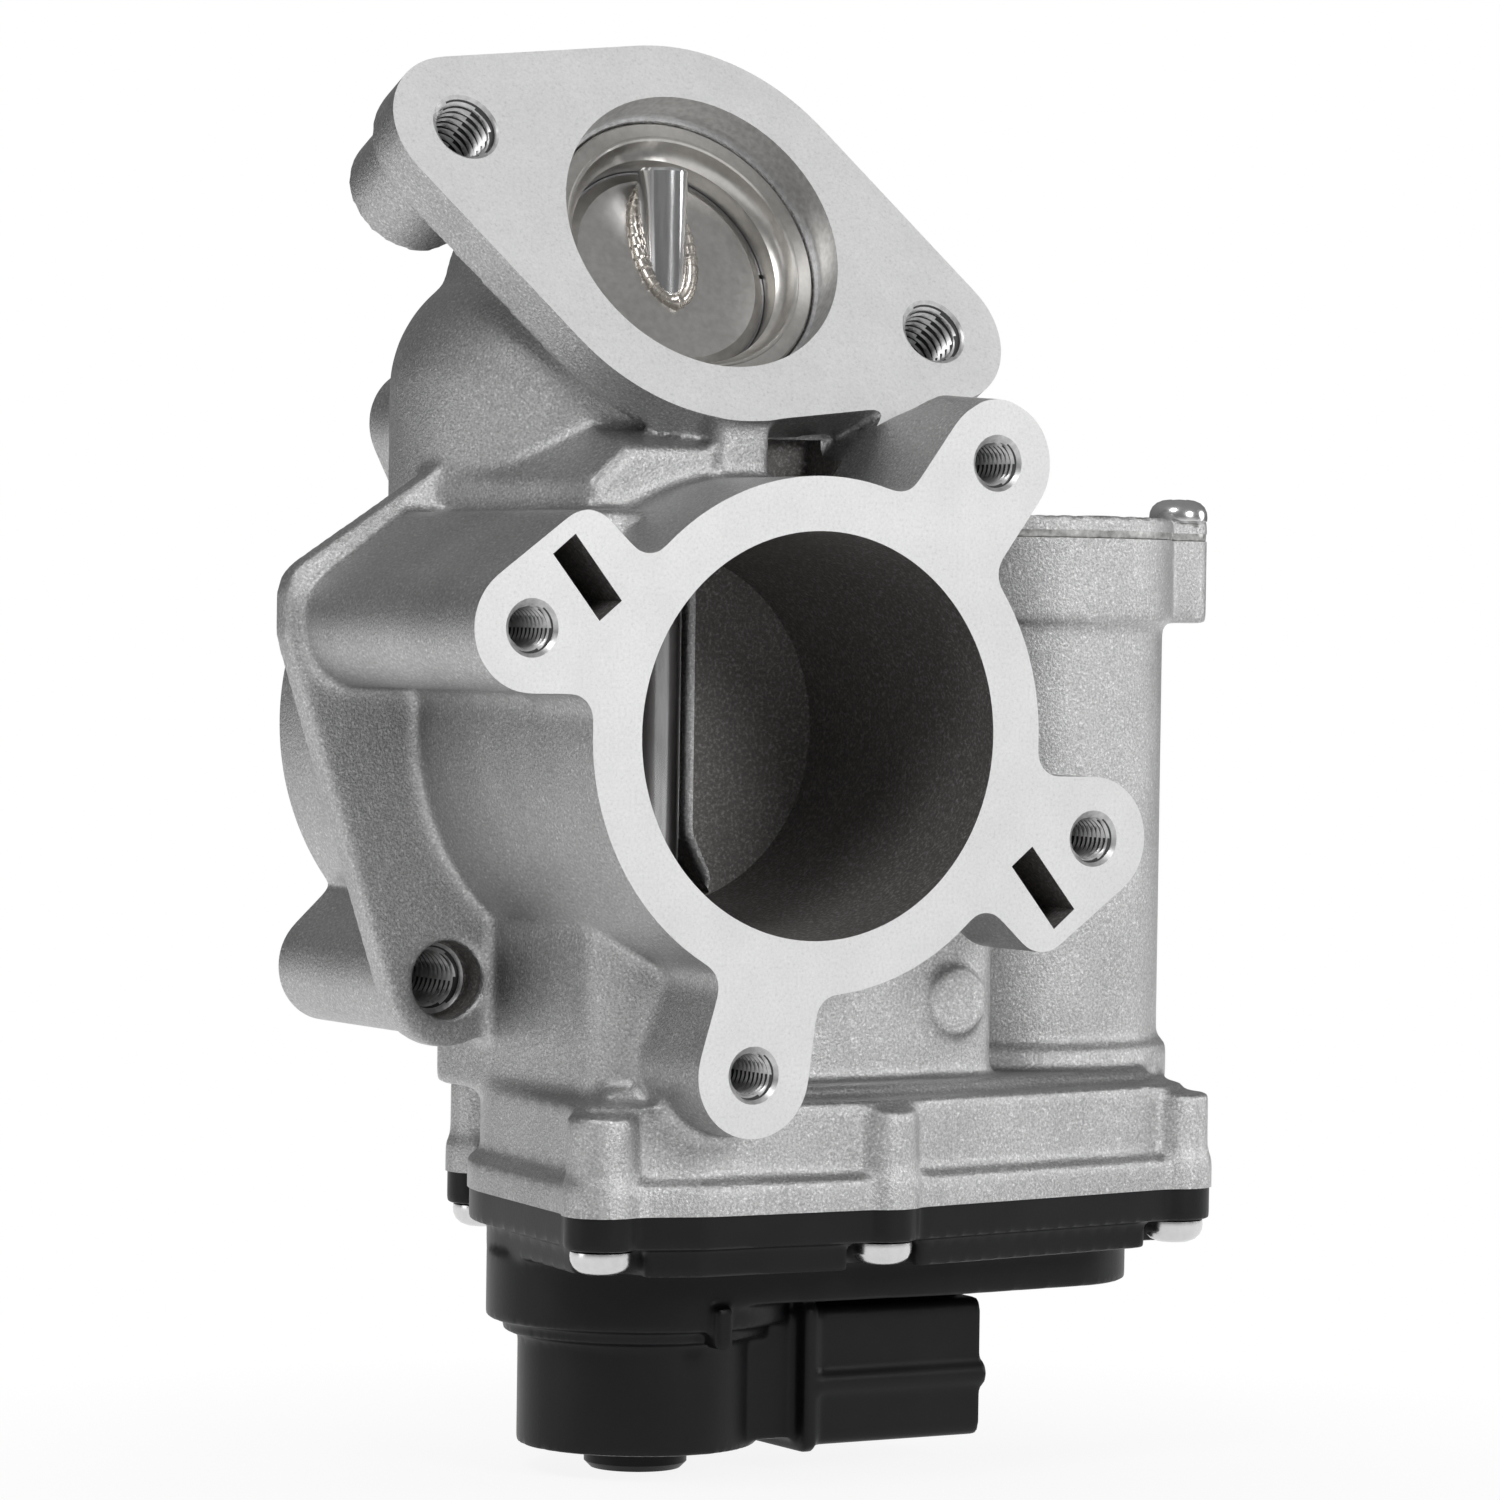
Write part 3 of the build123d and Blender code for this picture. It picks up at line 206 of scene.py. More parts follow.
class Shader:
    """Principled material with short ways to add noise, colour and bump."""

    def __init__(self, name, color, metallic, roughness):
        self.material = bpy.data.materials.new(name)
        self.material.use_nodes = True
        self.tree = self.material.node_tree
        self.surface = self.tree.nodes["Principled BSDF"]
        self.surface.inputs["Base Color"].default_value = (*color, 1)
        self.surface.inputs["Metallic"].default_value = metallic
        self.surface.inputs["Roughness"].default_value = roughness
        self.material.diffuse_color = (*color, 1)
        self.place = self.add("ShaderNodeTexCoord").outputs["Object"]

    def add(self, kind, **settings):
        """New shader node with these settings."""
        node = self.tree.nodes.new(kind)
        for key, value in settings.items():
            setattr(node, key, value)
        return node

    def join(self, source, target):
        """Links an output to an input."""
        self.tree.links.new(source, target)

    def noise(self, size, detail=3.0, roughness=0.6, stretch=(1, 1, 1)):
        """Noise whose grains are about this size in metres."""
        mapping = self.add("ShaderNodeMapping")
        mapping.inputs["Scale"].default_value = stretch
        self.join(self.place, mapping.inputs["Vector"])
        noise = self.add("ShaderNodeTexNoise")
        noise.inputs["Scale"].default_value = 0.5 / size
        noise.inputs["Detail"].default_value = detail
        noise.inputs["Roughness"].default_value = roughness
        self.join(mapping.outputs["Vector"], noise.inputs["Vector"])
        return noise.outputs["Fac"]

    def ramp(self, source, stops):
        """Colours at positions along a value, each stop a position and a grey or a colour."""
        ramp = self.add("ShaderNodeValToRGB")
        elements = ramp.color_ramp.elements
        while len(elements) < len(stops):
            elements.new(0.5)
        for element, (position, color) in zip(elements, stops):
            element.position = position
            element.color = (*color, 1) if isinstance(color, tuple) else (color, color, color, 1)
        self.join(source, ramp.inputs["Fac"])
        return ramp.outputs["Color"]

    def blend(self, first, second):
        """Product of two colours."""
        mix = self.add("ShaderNodeMix", data_type="RGBA", blend_type="MULTIPLY")
        mix.inputs["Factor"].default_value = 1.0
        self.join(first, mix.inputs["A"])
        self.join(second, mix.inputs["B"])
        return mix.outputs["Result"]

    def color(self, source):
        """Base colour from an output."""
        self.join(source, self.surface.inputs["Base Color"])

    def roughness(self, source, low, high):
        """Roughness between two limits, by a value from 0 to 1."""
        span = self.add("ShaderNodeMapRange")
        span.inputs["To Min"].default_value = low
        span.inputs["To Max"].default_value = high
        self.join(source, span.inputs["Value"])
        self.join(span.outputs["Result"], self.surface.inputs["Roughness"])

    def bump(self, source, height, strength=1.0):
        """Bump of this height in metres, on top of any earlier one."""
        bump = self.add("ShaderNodeBump")
        bump.inputs["Distance"].default_value = height
        bump.inputs["Strength"].default_value = strength
        self.join(source, bump.inputs["Height"])
        normal = self.surface.inputs["Normal"]
        if normal.links:
            self.join(normal.links[0].from_socket, bump.inputs["Normal"])
        self.join(bump.outputs["Normal"], normal)


def cast_aluminium():
    """Shot-blasted die casting: fine grain with soft patches."""
    shader = Shader("cast aluminium", (0.55, 0.55, 0.55), 1.0, 0.42)
    grain = shader.noise(0.17 * mm, 3.0, 0.7)
    patches = shader.noise(8.0 * mm, 3.0, 0.55)
    fine = shader.ramp(grain, ((0.34, 0.36), (0.48, 0.48), (0.6, 0.6), (0.7, 0.9)))
    broad = shader.ramp(patches, ((0.3, 0.84), (0.7, 1.0)))
    shader.color(shader.blend(fine, broad))
    shader.roughness(grain, 0.3, 0.5)
    shader.bump(grain, 0.12 * mm, 1.0)
    shader.bump(patches, 0.25 * mm, 0.4)
    return shader.material


def machined_aluminium():
    """Milled faces, bright with fine specks."""
    shader = Shader("machined aluminium", (0.78, 0.78, 0.78), 0.35, 0.42)
    specks = shader.noise(0.2 * mm, 3.0, 0.7)
    haze = shader.noise(5.0 * mm, 3.0, 0.6)
    fine = shader.ramp(specks, ((0.25, 0.62), (0.42, 0.76), (0.6, 0.81), (0.8, 0.88)))
    broad = shader.ramp(haze, ((0.35, 0.94), (0.65, 1.0)))
    shader.color(shader.blend(fine, broad))
    shader.roughness(specks, 0.36, 0.5)
    shader.bump(specks, 0.015 * mm, 0.5)
    return shader.material


def cavity_painted_shade_aluminium():
    """Inside of the as-cast throat and of other recesses: the casting's own grain, made darker than the
    outside as painted shade.
    """
    shader = Shader("cavity painted shade aluminium", (0.2, 0.19, 0.185), 0.5, 0.6)
    grain = shader.noise(0.22 * mm, 3.0, 0.7)
    patches = shader.noise(11.0 * mm, 3.0, 0.6)
    dark = (0.12, 0.115, 0.11)
    middle = (0.19, 0.18, 0.175)
    light = (0.42, 0.41, 0.4)
    fine = shader.ramp(grain, ((0.3, dark), (0.52, middle), (0.72, light)))
    broad = shader.ramp(patches, ((0.3, 0.8), (0.7, 1.0)))
    shader.color(shader.blend(fine, broad))
    shader.roughness(grain, 0.5, 0.7)
    shader.bump(grain, 0.1 * mm, 0.7)
    return shader.material


def turned_aluminium():
    """Inside of tapped holes and bores."""
    shader = Shader("turned aluminium", (0.6, 0.6, 0.6), 0.85, 0.4)
    lines = shader.noise(0.4 * mm, 2.0, 0.5)
    shader.color(shader.ramp(lines, ((0.3, 0.5), (0.7, 0.68))))
    shader.roughness(lines, 0.36, 0.48)
    return shader.material


def steel(
    name, color, metallic, low, high, grain=0.5 * mm, stretch=(1, 1, 1), relief=0.005 * mm, streak=0.08
):
    """Metal with fine streaks and a roughness that varies between two limits."""
    shader = Shader(name, color, metallic, (low + high) / 2)
    streaks = shader.noise(grain, 3.0, 0.6, stretch)
    tone = shader.noise(6.0 * mm, 2.0, 0.5)
    dark = tuple(c * (1 - streak) for c in color)
    light = tuple(min(1.0, c * (1 + streak)) for c in color)
    fine = shader.ramp(streaks, ((0.3, dark), (0.7, light)))
    broad = shader.ramp(tone, ((0.3, 0.9), (0.7, 1.0)))
    shader.color(shader.blend(fine, broad))
    shader.roughness(streaks, low, high)
    shader.bump(streaks, relief, 0.6)
    return shader.material


def plastic(name, color, low, high):
    """Moulded plastic with a fine eroded grain."""
    shader = Shader(name, color, 0.0, (low + high) / 2)
    shader.surface.inputs["Specular IOR Level"].default_value = 0.2
    grain = shader.noise(0.25 * mm, 3.0, 0.6)
    haze = shader.noise(7.0 * mm, 3.0, 0.6)
    dark = tuple(c * 0.8 for c in color)
    light = tuple(c * 1.25 for c in color)
    shader.color(shader.ramp(haze, ((0.3, dark), (0.7, light))))
    shader.roughness(haze, low, high)
    shader.bump(grain, 0.03 * mm, 0.5)
    return shader.material


slot_materials = {
    "cast_aluminium": cast_aluminium(),
    "seat_steel": steel("seat steel", (0.6, 0.585, 0.56), 0.95, 0.26, 0.36),
    "flap_steel": steel("flap steel", (0.5, 0.49, 0.475), 0.95, 0.3, 0.42),
    "bright_steel": steel("bright steel", (0.78, 0.78, 0.79), 1.0, 0.12, 0.2, stretch=(1, 1, 0.1)),
    "bearing_steel": steel("bearing steel", (0.7, 0.7, 0.72), 1.0, 0.1, 0.18),
    "spring_steel": steel("spring steel", (0.3, 0.3, 0.31), 0.9, 0.3, 0.45),
    "zinc_steel": steel("zinc steel", (0.42, 0.42, 0.41), 0.9, 0.3, 0.46, streak=0.4),
    "screw_chrome": steel("screw chrome", (0.7, 0.7, 0.7), 1.0, 0.2, 0.26, relief=0.001 * mm, streak=0.04),
    "sintered_bronze": steel("sintered bronze", (0.5, 0.36, 0.2), 0.9, 0.4, 0.55),
    "brass": steel("brass", (0.75, 0.58, 0.28), 1.0, 0.25, 0.35),
    "copper": steel("copper", (0.7, 0.35, 0.2), 0.9, 0.3, 0.45, stretch=(1, 1, 5)),
    "gear_plastic": plastic("gear plastic", (0.75, 0.73, 0.65), 0.4, 0.5),
    "black_plastic": plastic("black plastic", (0.008, 0.008, 0.009), 0.32, 0.46),
    "board_green": plastic("board green", (0.03, 0.2, 0.09), 0.3, 0.4),
    "black_rubber": plastic("black rubber", (0.015, 0.015, 0.015), 0.6, 0.75),
    "magnet_grey": steel("magnet grey", (0.12, 0.12, 0.13), 0.5, 0.5, 0.6),
    "carbon": steel("carbon", (0.05, 0.05, 0.05), 0.2, 0.5, 0.6),
}
weld_steel = steel("weld steel", (0.62, 0.58, 0.53), 0.95, 0.18, 0.4, grain=0.3 * mm, relief=0.01 * mm)
# Near-black steel in the screws' drives is painted shade
drive_painted_shade_steel = steel("drive painted shade steel", (0.08, 0.08, 0.085), 0.8, 0.3, 0.5)
# Near-black steel in the threads' roots and the holes' tips is painted shade
thread_root_painted_shade = steel("thread root painted shade", (0.07, 0.07, 0.072), 0.5, 0.5, 0.65)
machined = machined_aluminium()
turned = turned_aluminium()
# Darker aluminium whose darkness is painted shade in the throat and the recesses
cavity_painted_shade = cavity_painted_shade_aluminium()


def dress_nodes():
    """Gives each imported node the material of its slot."""
    slots = {part["node"]: part["material_slot"] for part in frame["record"]["subparts"]}
    for name, obj in nodes.items():
        obj.data.materials.clear()
        obj.data.materials.append(slot_materials[slots[name]])


def welded_copy(name, node):
    """Copy of a node with its vertices joined up."""
    mesh = nodes[node].data.copy()
    mesh.name = name
    bm = bmesh.new()
    bm.from_mesh(mesh)
    bmesh.ops.remove_doubles(bm, verts=bm.verts, dist=0.001 * mm)
    bmesh.ops.recalc_face_normals(bm, faces=bm.faces)
    bm.to_mesh(mesh)
    bm.free()
    return mesh_object(name, mesh)


def stretch_past(obj, point, normal, reach=3.0 * mm, within=1.0):
    """Moves the vertices on a machined plane outwards, so that the cut that follows leaves a crisp edge."""
    on_plane = 0.02 * mm
    for vertex in obj.data.vertices:
        offset = vertex.co - point
        if abs(offset.dot(normal)) < on_plane and offset.length < within:
            vertex.co += normal * reach


def softened(obj, voxel, rounds):
    """Rounds every edge of a solid, as in a casting or a moulding."""
    remesh = obj.modifiers.new("voxels", "REMESH")
    remesh.mode = "VOXEL"
    remesh.voxel_size = voxel
    smooth = obj.modifiers.new("smooth", "SMOOTH")
    smooth.factor = 0.5
    smooth.iterations = rounds
    return applied(obj)


def cut(obj, cutter, *materials):
    """Cuts one solid out of another and gives the cut the cutter's materials."""
    indices = [face.material_index for face in cutter.data.polygons]
    cutter.data.materials.clear()
    for material in materials:
        cutter.data.materials.append(material)
    cutter.data.polygons.foreach_set("material_index", indices)
    knife = obj.modifiers.new("cut", "BOOLEAN")
    knife.operation = "DIFFERENCE"
    knife.solver = "MANIFOLD"
    knife.object = cutter
    knife.material_mode = "TRANSFER"
    bpy.context.view_layer.update()
    applied(obj)
    mesh = cutter.data
    bpy.data.objects.remove(cutter)
    bpy.data.meshes.remove(mesh)
    return obj


def lathe(name, profile, place, segments, ring=False):
    """Solid of revolution about its local Z, from radius and height pairs; a ring's ends join up."""
    bm = bmesh.new()
    rows = []
    for radius, height in profile:
        if radius == 0:
            rows.append([bm.verts.new((0, 0, height))])
            continue
        row = []
        for step in range(segments):
            angle = 2 * pi * step / segments
            row.append(bm.verts.new((radius * cos(angle), radius * sin(angle), height)))
        rows.append(row)
    if ring:
        rows.append(rows[0])
    for low, high in zip(rows, rows[1:]):
        for step in range(segments):
            after = (step + 1) % segments
            if len(low) == 1:
                bm.faces.new((low[0], high[step], high[after]))
            elif len(high) == 1:
                bm.faces.new((low[after], low[step], high[0]))
            else:
                bm.faces.new((low[step], high[step], high[after], low[after]))
    bmesh.ops.recalc_face_normals(bm, faces=bm.faces)
    return solid(name, bm, place)


def looking(origin, normal):
    """Place whose local Z leaves along a normal."""
    return Matrix.Translation(origin) @ normal.to_track_quat("Z", "Y").to_matrix().to_4x4()


def prism(name, outline, place, low, high):
    """Prism along its local Z over a closed outline."""
    bm = bmesh.new()
    rings = [[bm.verts.new((x, y, height)) for x, y in outline] for height in (low, high)]
    for point in range(len(outline)):
        after = (point + 1) % len(outline)
        bm.faces.new((rings[0][point], rings[0][after], rings[1][after], rings[1][point]))
    bm.faces.new(reversed(rings[0]))
    bm.faces.new(rings[1])
    bmesh.ops.recalc_face_normals(bm, faces=bm.faces)
    return solid(name, bm, place)


def block(name, place, size):
    """Box of this size about a place."""
    bm = bmesh.new()
    bmesh.ops.create_cube(bm, size=1.0)
    return solid(name, bm, place @ Matrix.Diagonal((*size, 1)))


def slab(point, normal, width, length, depth):
    """Block that stands on a plane, for cutting everything on the far side of it."""
    return block("slab", looking(point + normal * (depth / 2), normal), (width, length, depth))


def finished(obj, angle, body, slot, *replaced):
    """Shades a piece, gives it its slot's material and puts it on its body in place of nodes."""
    if not obj.data.materials:
        obj.data.materials.append(slot_materials[slot])
    sharpen(obj, angle)
    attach(obj, body)
    if replaced:
        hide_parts(*replaced)


def plain_bore(origin, normal, radius, depth):
    """Cylinder that cuts a bore below a face."""
    profile = ((0, -depth), (radius, -depth), (radius, cut_reach), (0, cut_reach))
    return lathe("bore", profile, looking(origin, normal), 96)


def tapped_hole(origin, normal, thread, depth):
    """Solid that cuts a threaded hole with its countersink, its second material, painted shade, in the
    thread's root and at the tip.
    """
    core_r, major_r, pitch = thread
    segments = 40
    rows_per_turn = 6
    root_share = 0.24
    flank_gain = 1.3
    flank_start = 0.15
    tip_length = 0.6 * core_r
    sink = major_r + thread_sink_rise
    rows = int(depth / pitch * rows_per_turn)
    bm = bmesh.new()
    grid = []
    for row in range(rows + 1):
        height = -depth + depth * row / rows
        ring = []
        for step in range(segments):
            turn = step / segments
            phase = (height / pitch - turn) % 1.0
            crest = 1.0 - abs(2.0 * phase - 1.0)
            rise = min(1.0, max(0.0, crest * flank_gain - flank_start))
            radius = max(core_r + (major_r - core_r) * rise, sink + height)
            angle = 2 * pi * turn
            ring.append(bm.verts.new((radius * cos(angle), radius * sin(angle), height)))
        grid.append(ring)
    lid = [bm.verts.new((vertex.co.x, vertex.co.y, cut_reach)) for vertex in grid[-1]]
    grid.append(lid)
    for low, high in zip(grid, grid[1:]):
        for step in range(segments):
            after = (step + 1) % segments
            face = bm.faces.new((low[step], low[after], high[after], high[step]))
            height = face.calc_center_median().z
            phase = (height / pitch - (step + 0.5) / segments) % 1.0
            # Faces in the thread's root take the second material, painted shade
            face.material_index = int(abs(phase - 0.5) < root_share and sink + height < major_r)
    tip = bm.verts.new((0, 0, -depth - tip_length))
    middle = bm.verts.new((0, 0, cut_reach))
    for step in range(segments):
        after = (step + 1) % segments
        bm.faces.new((grid[0][after], grid[0][step], tip)).material_index = 1
        bm.faces.new((lid[step], lid[after], middle))
    bmesh.ops.recalc_face_normals(bm, faces=bm.faces)
    return solid("tapped hole", bm, looking(origin, normal))


def sharpen(obj, angle):
    """Smooth shading with sharp edges above an angle in degrees."""
    for face in obj.data.polygons:
        face.use_smooth = True
    obj.data.set_sharp_from_angle(angle=radians(angle))


def around(radius, angle, y=0.0):
    """Point of the front view at a radius and an angle."""
    return Vector((radius * cos(angle), y, radius * sin(angle)))


def throat_cavity():
    """Cone that cuts the throat's inside crisply out of the softened casting."""
    taper = (main_bore_r - main_cavity_end_r) / main_cavity_depth
    mouth = main_bore_r + cut_margin
    end = -main_cavity_depth - cut_margin
    profile = (
        (0, end),
        (mouth - taper * main_cavity_depth, end),
        (mouth, -main_bore_land),
        (mouth, cut_reach),
        (0, cut_reach),
    )
    return lathe("cavity_painted_shade", profile, looking(Vector(), front), 128)


def throat_window():
    """Solid that cuts the window behind the throat, whose straight right edge flares at its foot."""
    radius = window_r + cut_margin
    edge = window_edge_x + cut_margin
    slope = 0.5
    flare_z = window_flare - radius

    # Share of the flare's slanted edge at which it meets the circle
    square = (1 + slope**2) * window_flare**2
    linear = 2 * window_flare * (slope * edge - flare_z)
    rest = edge**2 + flare_z**2 - radius**2
    share = (sqrt(linear**2 - 4 * square * rest) - linear) / (2 * square)
    start = acos(edge / radius)
    end = 2 * pi + atan2(flare_z - share * window_flare, edge + share * window_flare * slope)
    steps = 72
    outline = [(edge, flare_z)]
    for step in range(steps + 1):
        angle = start + (end - start) * step / steps
        outline.append((radius * cos(angle), radius * sin(angle)))
    return prism("window", outline, looking(Vector(), front), -window_back_y, cut_reach - main_cavity_depth)


def housing_casting():
    """The casting with soft edges, milled faces, bores and threads."""
    origin = Vector()
    rear = Vector((0, rear_face_y, 0))
    parting = Vector((0, shaft_y, parting_z))
    motor_top = Vector((motor_x, shaft_y, motor_top_z))
    body = welded_copy("casting", "valve_body")
    stretch_past(body, origin, front)
    stretch_past(body, rear, back)
    stretch_past(body, parting, -up)
    stretch_past(body, port_centre, port_normal)
    stretch_past(body, motor_top, up, within=motor_top_reach)
    softened(body, *casting_softness)
    body.data.materials.clear()
    body.data.materials.append(slot_materials["cast_aluminium"])
    for point, normal in ((origin, front), (rear, back), (parting, -up)):
        cut(body, slab(point, normal, trim_width, trim_width, trim_depth), machined)
    cut(body, slab(port_centre, port_normal, *port_trim), machined)
    cut(body, plain_bore(motor_top, up, motor_trim_r, 0), machined)
    cut(body, plain_bore(port_centre, port_normal, port_bore_r, seat_step_depth), turned)
    cut(body, plain_bore(port_centre, port_normal, seat_outer_r, seat_step_depth + seat_length), turned)
    # The throat, the window behind it and the hollow take the darker aluminium as painted shade
    cut(body, throat_cavity(), cavity_painted_shade)
    cut(body, throat_window(), cavity_painted_shade)
    cut(body, block("hollow", Matrix.Translation(hollow_centre), hollow_size), cavity_painted_shade)
    cut_slots(body)
    cut_threads(body)
    finished(body, 38, "housing", "cast_aluminium", "valve_body")


def cut_slots(body):
    """The two cored slots of the main flange."""
    centre = around(main_hole_circle_r, radians(main_hole_angles[0])) + slot_shift
    turn = Matrix.Rotation(-slot_angle, 4, "Y")
    size = (slot_size[0], 2 * slot_depth, slot_size[1])
    for place in (centre, -centre):
        # The slots' walls take the darker aluminium as painted shade
        cut(body, block("slot", Matrix.Translation(place) @ turn, size), cavity_painted_shade)


def cut_thread(body, place, normal, thread, depth):
    """One threaded hole."""
    # The threads' roots and the holes' tips take painted shade
    cut(body, tapped_hole(place, normal, thread, depth), turned, thread_root_painted_shade)


def cut_threads(body):
    """Threaded holes of the three flanges, the low one at the rear with its counterbore."""
    for angle in main_hole_angles:
        cut_thread(body, around(main_hole_circle_r, radians(angle)), front, m6_thread, main_hole_depth)
    for across, along in port_bolts:
        place = port_centre + Vector((across, 0, 0)) + port_up * along
        cut_thread(body, place, port_normal, m8_thread, port_hole_depth)
    mouth = around(rear_bolt_circle_r, rear_bolt_angle, plate_y)
    # The counterbore takes the darker aluminium as painted shade
    cut(body, plain_bore(mouth, front, rear_counterbore_r, rear_counterbore_depth), cavity_painted_shade)
    cut_thread(body, mouth + back * rear_counterbore_depth, front, m8_thread, rear_low_thread_length)
    for angle in (rear_bolt_angle + rear_bolt_step, rear_bolt_angle + 2 * rear_bolt_step):
        place = around(rear_bolt_circle_r, angle, rear_face_y)
        cut_thread(body, place, back, m8_thread, rear_hole_depth)


def seat():
    """Turned steel seat with a rolled edge and a hollow throat."""
    face = -seat_step_depth
    end = face - seat_length
    outer_r = seat_outer_r - 0.02 * mm
    chamfer = 0.3 * mm
    profile = (
        (seat_bore_r, end),
        (outer_r, end),
        (outer_r, face - chamfer),
        (seat_outer_r - chamfer, face),
        (16.55 * mm, face),
        (16.4 * mm, face + 0.12 * mm),
        (16.15 * mm, face + 0.12 * mm),
        (15.95 * mm, face - 0.1 * mm),
        (15.75 * mm, face - 1.2 * mm),
        (15.35 * mm, face - 2.0 * mm),
        (14.85 * mm, face - 2.5 * mm),
        (seat_bore_r, face - 2.7 * mm),
    )
    ring = lathe("seat", profile, looking(port_centre, port_normal), 128, ring=True)
    ring.data.materials.append(slot_materials["seat_steel"])
    cut(ring, shaft_bore(shaft_passage_r, flap_z, 48), slot_materials["seat_steel"])
    finished(ring, 30, "housing", "seat_steel", "seat_ring")


def shaft_bore(radius, height, segments):
    """Cylinder about the shaft's axis, from the throat's middle upwards."""
    profile = ((0, 0), (radius, 0), (radius, height), (0, height))
    return lathe("bore", profile, Matrix.Translation((0, shaft_y, 0)), segments)


def flap():
    """Bevelled flap with its groove, pierced by the shaft."""
    rim_top = flap_half - flap_bevel * 0.6
    profile = (
        (0, -flap_half),
        (flap_r - 0.2 * mm, -flap_half),
        (flap_r, -flap_groove_half),
        (flap_groove_r, -flap_groove_half),
        (flap_groove_r, flap_groove_half),
        (flap_r, flap_groove_half),
        (flap_r - 0.05 * mm, rim_top),
        (flap_r - flap_bevel, flap_half),
        (0, flap_half),
    )
    disc = lathe("flap", profile, looking(flap_centre, port_normal), 128)
    disc.data.materials.append(slot_materials["flap_steel"])
    cut(disc, shaft_bore(shaft_r, shaft_bore_top_z, 96), slot_materials["flap_steel"])
    finished(disc, 25, "valve", "flap_steel", "flap_disc")


def weld_bead():
    """Rippled weld that runs round the shaft where it leaves the flap's face."""
    centre = flap_centre + port_normal * flap_half + port_up * (flap_half / tan(port_tilt))
    wide = shaft_r + 0.7 * mm
    high = shaft_r / sin(port_tilt) + 0.8 * mm
    bead_r = 0.78 * mm
    ripple_rise = 0.2 * mm
    toe_rise = 0.35 * mm
    toe_turn = 0.75
    toe_length = 0.035
    steps = 264
    sides = 12
    ripples = 33
    bm = bmesh.new()
    rows = []
    for step in range(steps):
        turn = 2 * pi * step / steps
        place = centre + Vector((wide * cos(turn), 0, 0)) + port_up * (high * sin(turn))
        along = Vector((-wide * sin(turn), 0, 0)) + port_up * (high * cos(turn))
        outward = along.cross(port_normal).normalized()
        ripple = (step * ripples / steps) % 1.0
        toe = max(0.0, 1.0 - abs(step / steps - toe_turn) / toe_length)
        radius = bead_r + ripple_rise * ripple + toe_rise * toe
        row = []
        for side in range(sides):
            angle = 2 * pi * side / sides
            offset = outward * (radius * cos(angle)) + port_normal * (radius * sin(angle))
            row.append(bm.verts.new(place + offset))
        rows.append(row)
    for low, high_row in zip(rows, rows[1:] + rows[:1]):
        for side in range(sides):
            after = (side + 1) % sides
            bm.faces.new((low[side], low[after], high_row[after], high_row[side]))
    bmesh.ops.recalc_face_normals(bm, faces=bm.faces)
    bead = solid("weld", bm)
    bead.data.materials.append(weld_steel)
    finished(bead, 50, "valve", "flap_steel")


def recess(place):
    """Six-pointed prism that cuts a screw's drive."""
    points = 12
    tip_r = 1.75 * mm
    hollow_r = 0.72 * tip_r
    depth = 1.7 * mm
    outline = []
    for point in range(points):
        reach = tip_r if point % 2 else hollow_r
        angle = 2 * pi * point / points
        outline.append((reach * cos(angle), reach * sin(angle)))
    return prism("recess", outline, place, -depth, cut_reach)


def pan_screw(place, length):
    """Pan head screw whose seat is at its place."""
    head_top = 3.1 * mm
    profile = (
        (0, -length),
        (1.6 * mm, -length),
        (1.98 * mm, -length + 0.5 * mm),
        (1.98 * mm, 0),
        (3.55 * mm, 0),
        (3.85 * mm, 0.2 * mm),
        (3.9 * mm, 0.7 * mm),
        (3.82 * mm, 1.4 * mm),
        (3.5 * mm, 2.1 * mm),
        (2.9 * mm, 2.65 * mm),
        (2.1 * mm, 2.98 * mm),
        (1.2 * mm, head_top),
        (0, head_top),
    )
    screw = lathe("screw", profile, place, 48)
    screw.data.materials.append(slot_materials["screw_chrome"])
    # The drive's faces take the near-black steel as painted shade
    return cut(screw, recess(place @ Matrix.Translation((0, 0, head_top))), drive_painted_shade_steel)


def joined_screws(name, screws):
    """One object from several screws, with the chrome and the drive faces, dark with painted shade, kept
    apart.
    """
    bm = bmesh.new()
    for screw in screws:
        bm.from_mesh(screw.data)
        bpy.data.objects.remove(screw)
    obj = solid(name, bm)
    obj.data.materials.append(slot_materials["screw_chrome"])
    obj.data.materials.append(drive_painted_shade_steel)
    return obj


def screws():
    """Pan head screws of the motor's cap and of the cover."""
    cap_seat = Vector((motor_x, shaft_y, motor_top_z + cap_thickness))
    reach = cap_screw_reach * Vector((cos(cap_screw_angle), sin(cap_screw_angle), 0))
    upper = [pan_screw(looking(cap_seat + side * reach, up), cap_screw_length) for side in (1, -1)]
    finished(joined_screws("cap_pan_screws", upper), 35, "housing", "screw_chrome", "cap_screws")
    lower = []
    for x, y in cover_screw_places:
        lower.append(pan_screw(looking(Vector((x * mm, y * mm, rim_z)), -up), cover_screw_length))
    finished(joined_screws("cover_pan_screws", lower), 35, "housing", "screw_chrome", "cover_screws")


def cap():
    """Stamped cap of the motor with rolled edges."""
    plate = softened(welded_copy("cap", "motor_cap_plate"), *cap_softness)
    plate.data.materials.clear()
    finished(plate, 60, "housing", "zinc_steel", "motor_cap_plate")


def moulded_cover():
    """Black cover with moulded edges and a crisp socket."""
    black = slot_materials["black_plastic"]
    shell = welded_copy("cover", "gearbox_cover")
    parting = Vector((0, shaft_y, parting_z))
    stretch_past(shell, parting, up)
    softened(shell, *cover_softness)
    shell.data.materials.clear()
    shell.data.materials.append(black)
    cut(shell, slab(parting, up, trim_width, trim_width, trim_depth), black)
    middle = (socket_low + socket_high) / 2
    cut(shell, block("socket", Matrix.Translation(middle), socket_high - socket_low), black)
    finished(shell, 40, "housing", "black_plastic", "gearbox_cover")


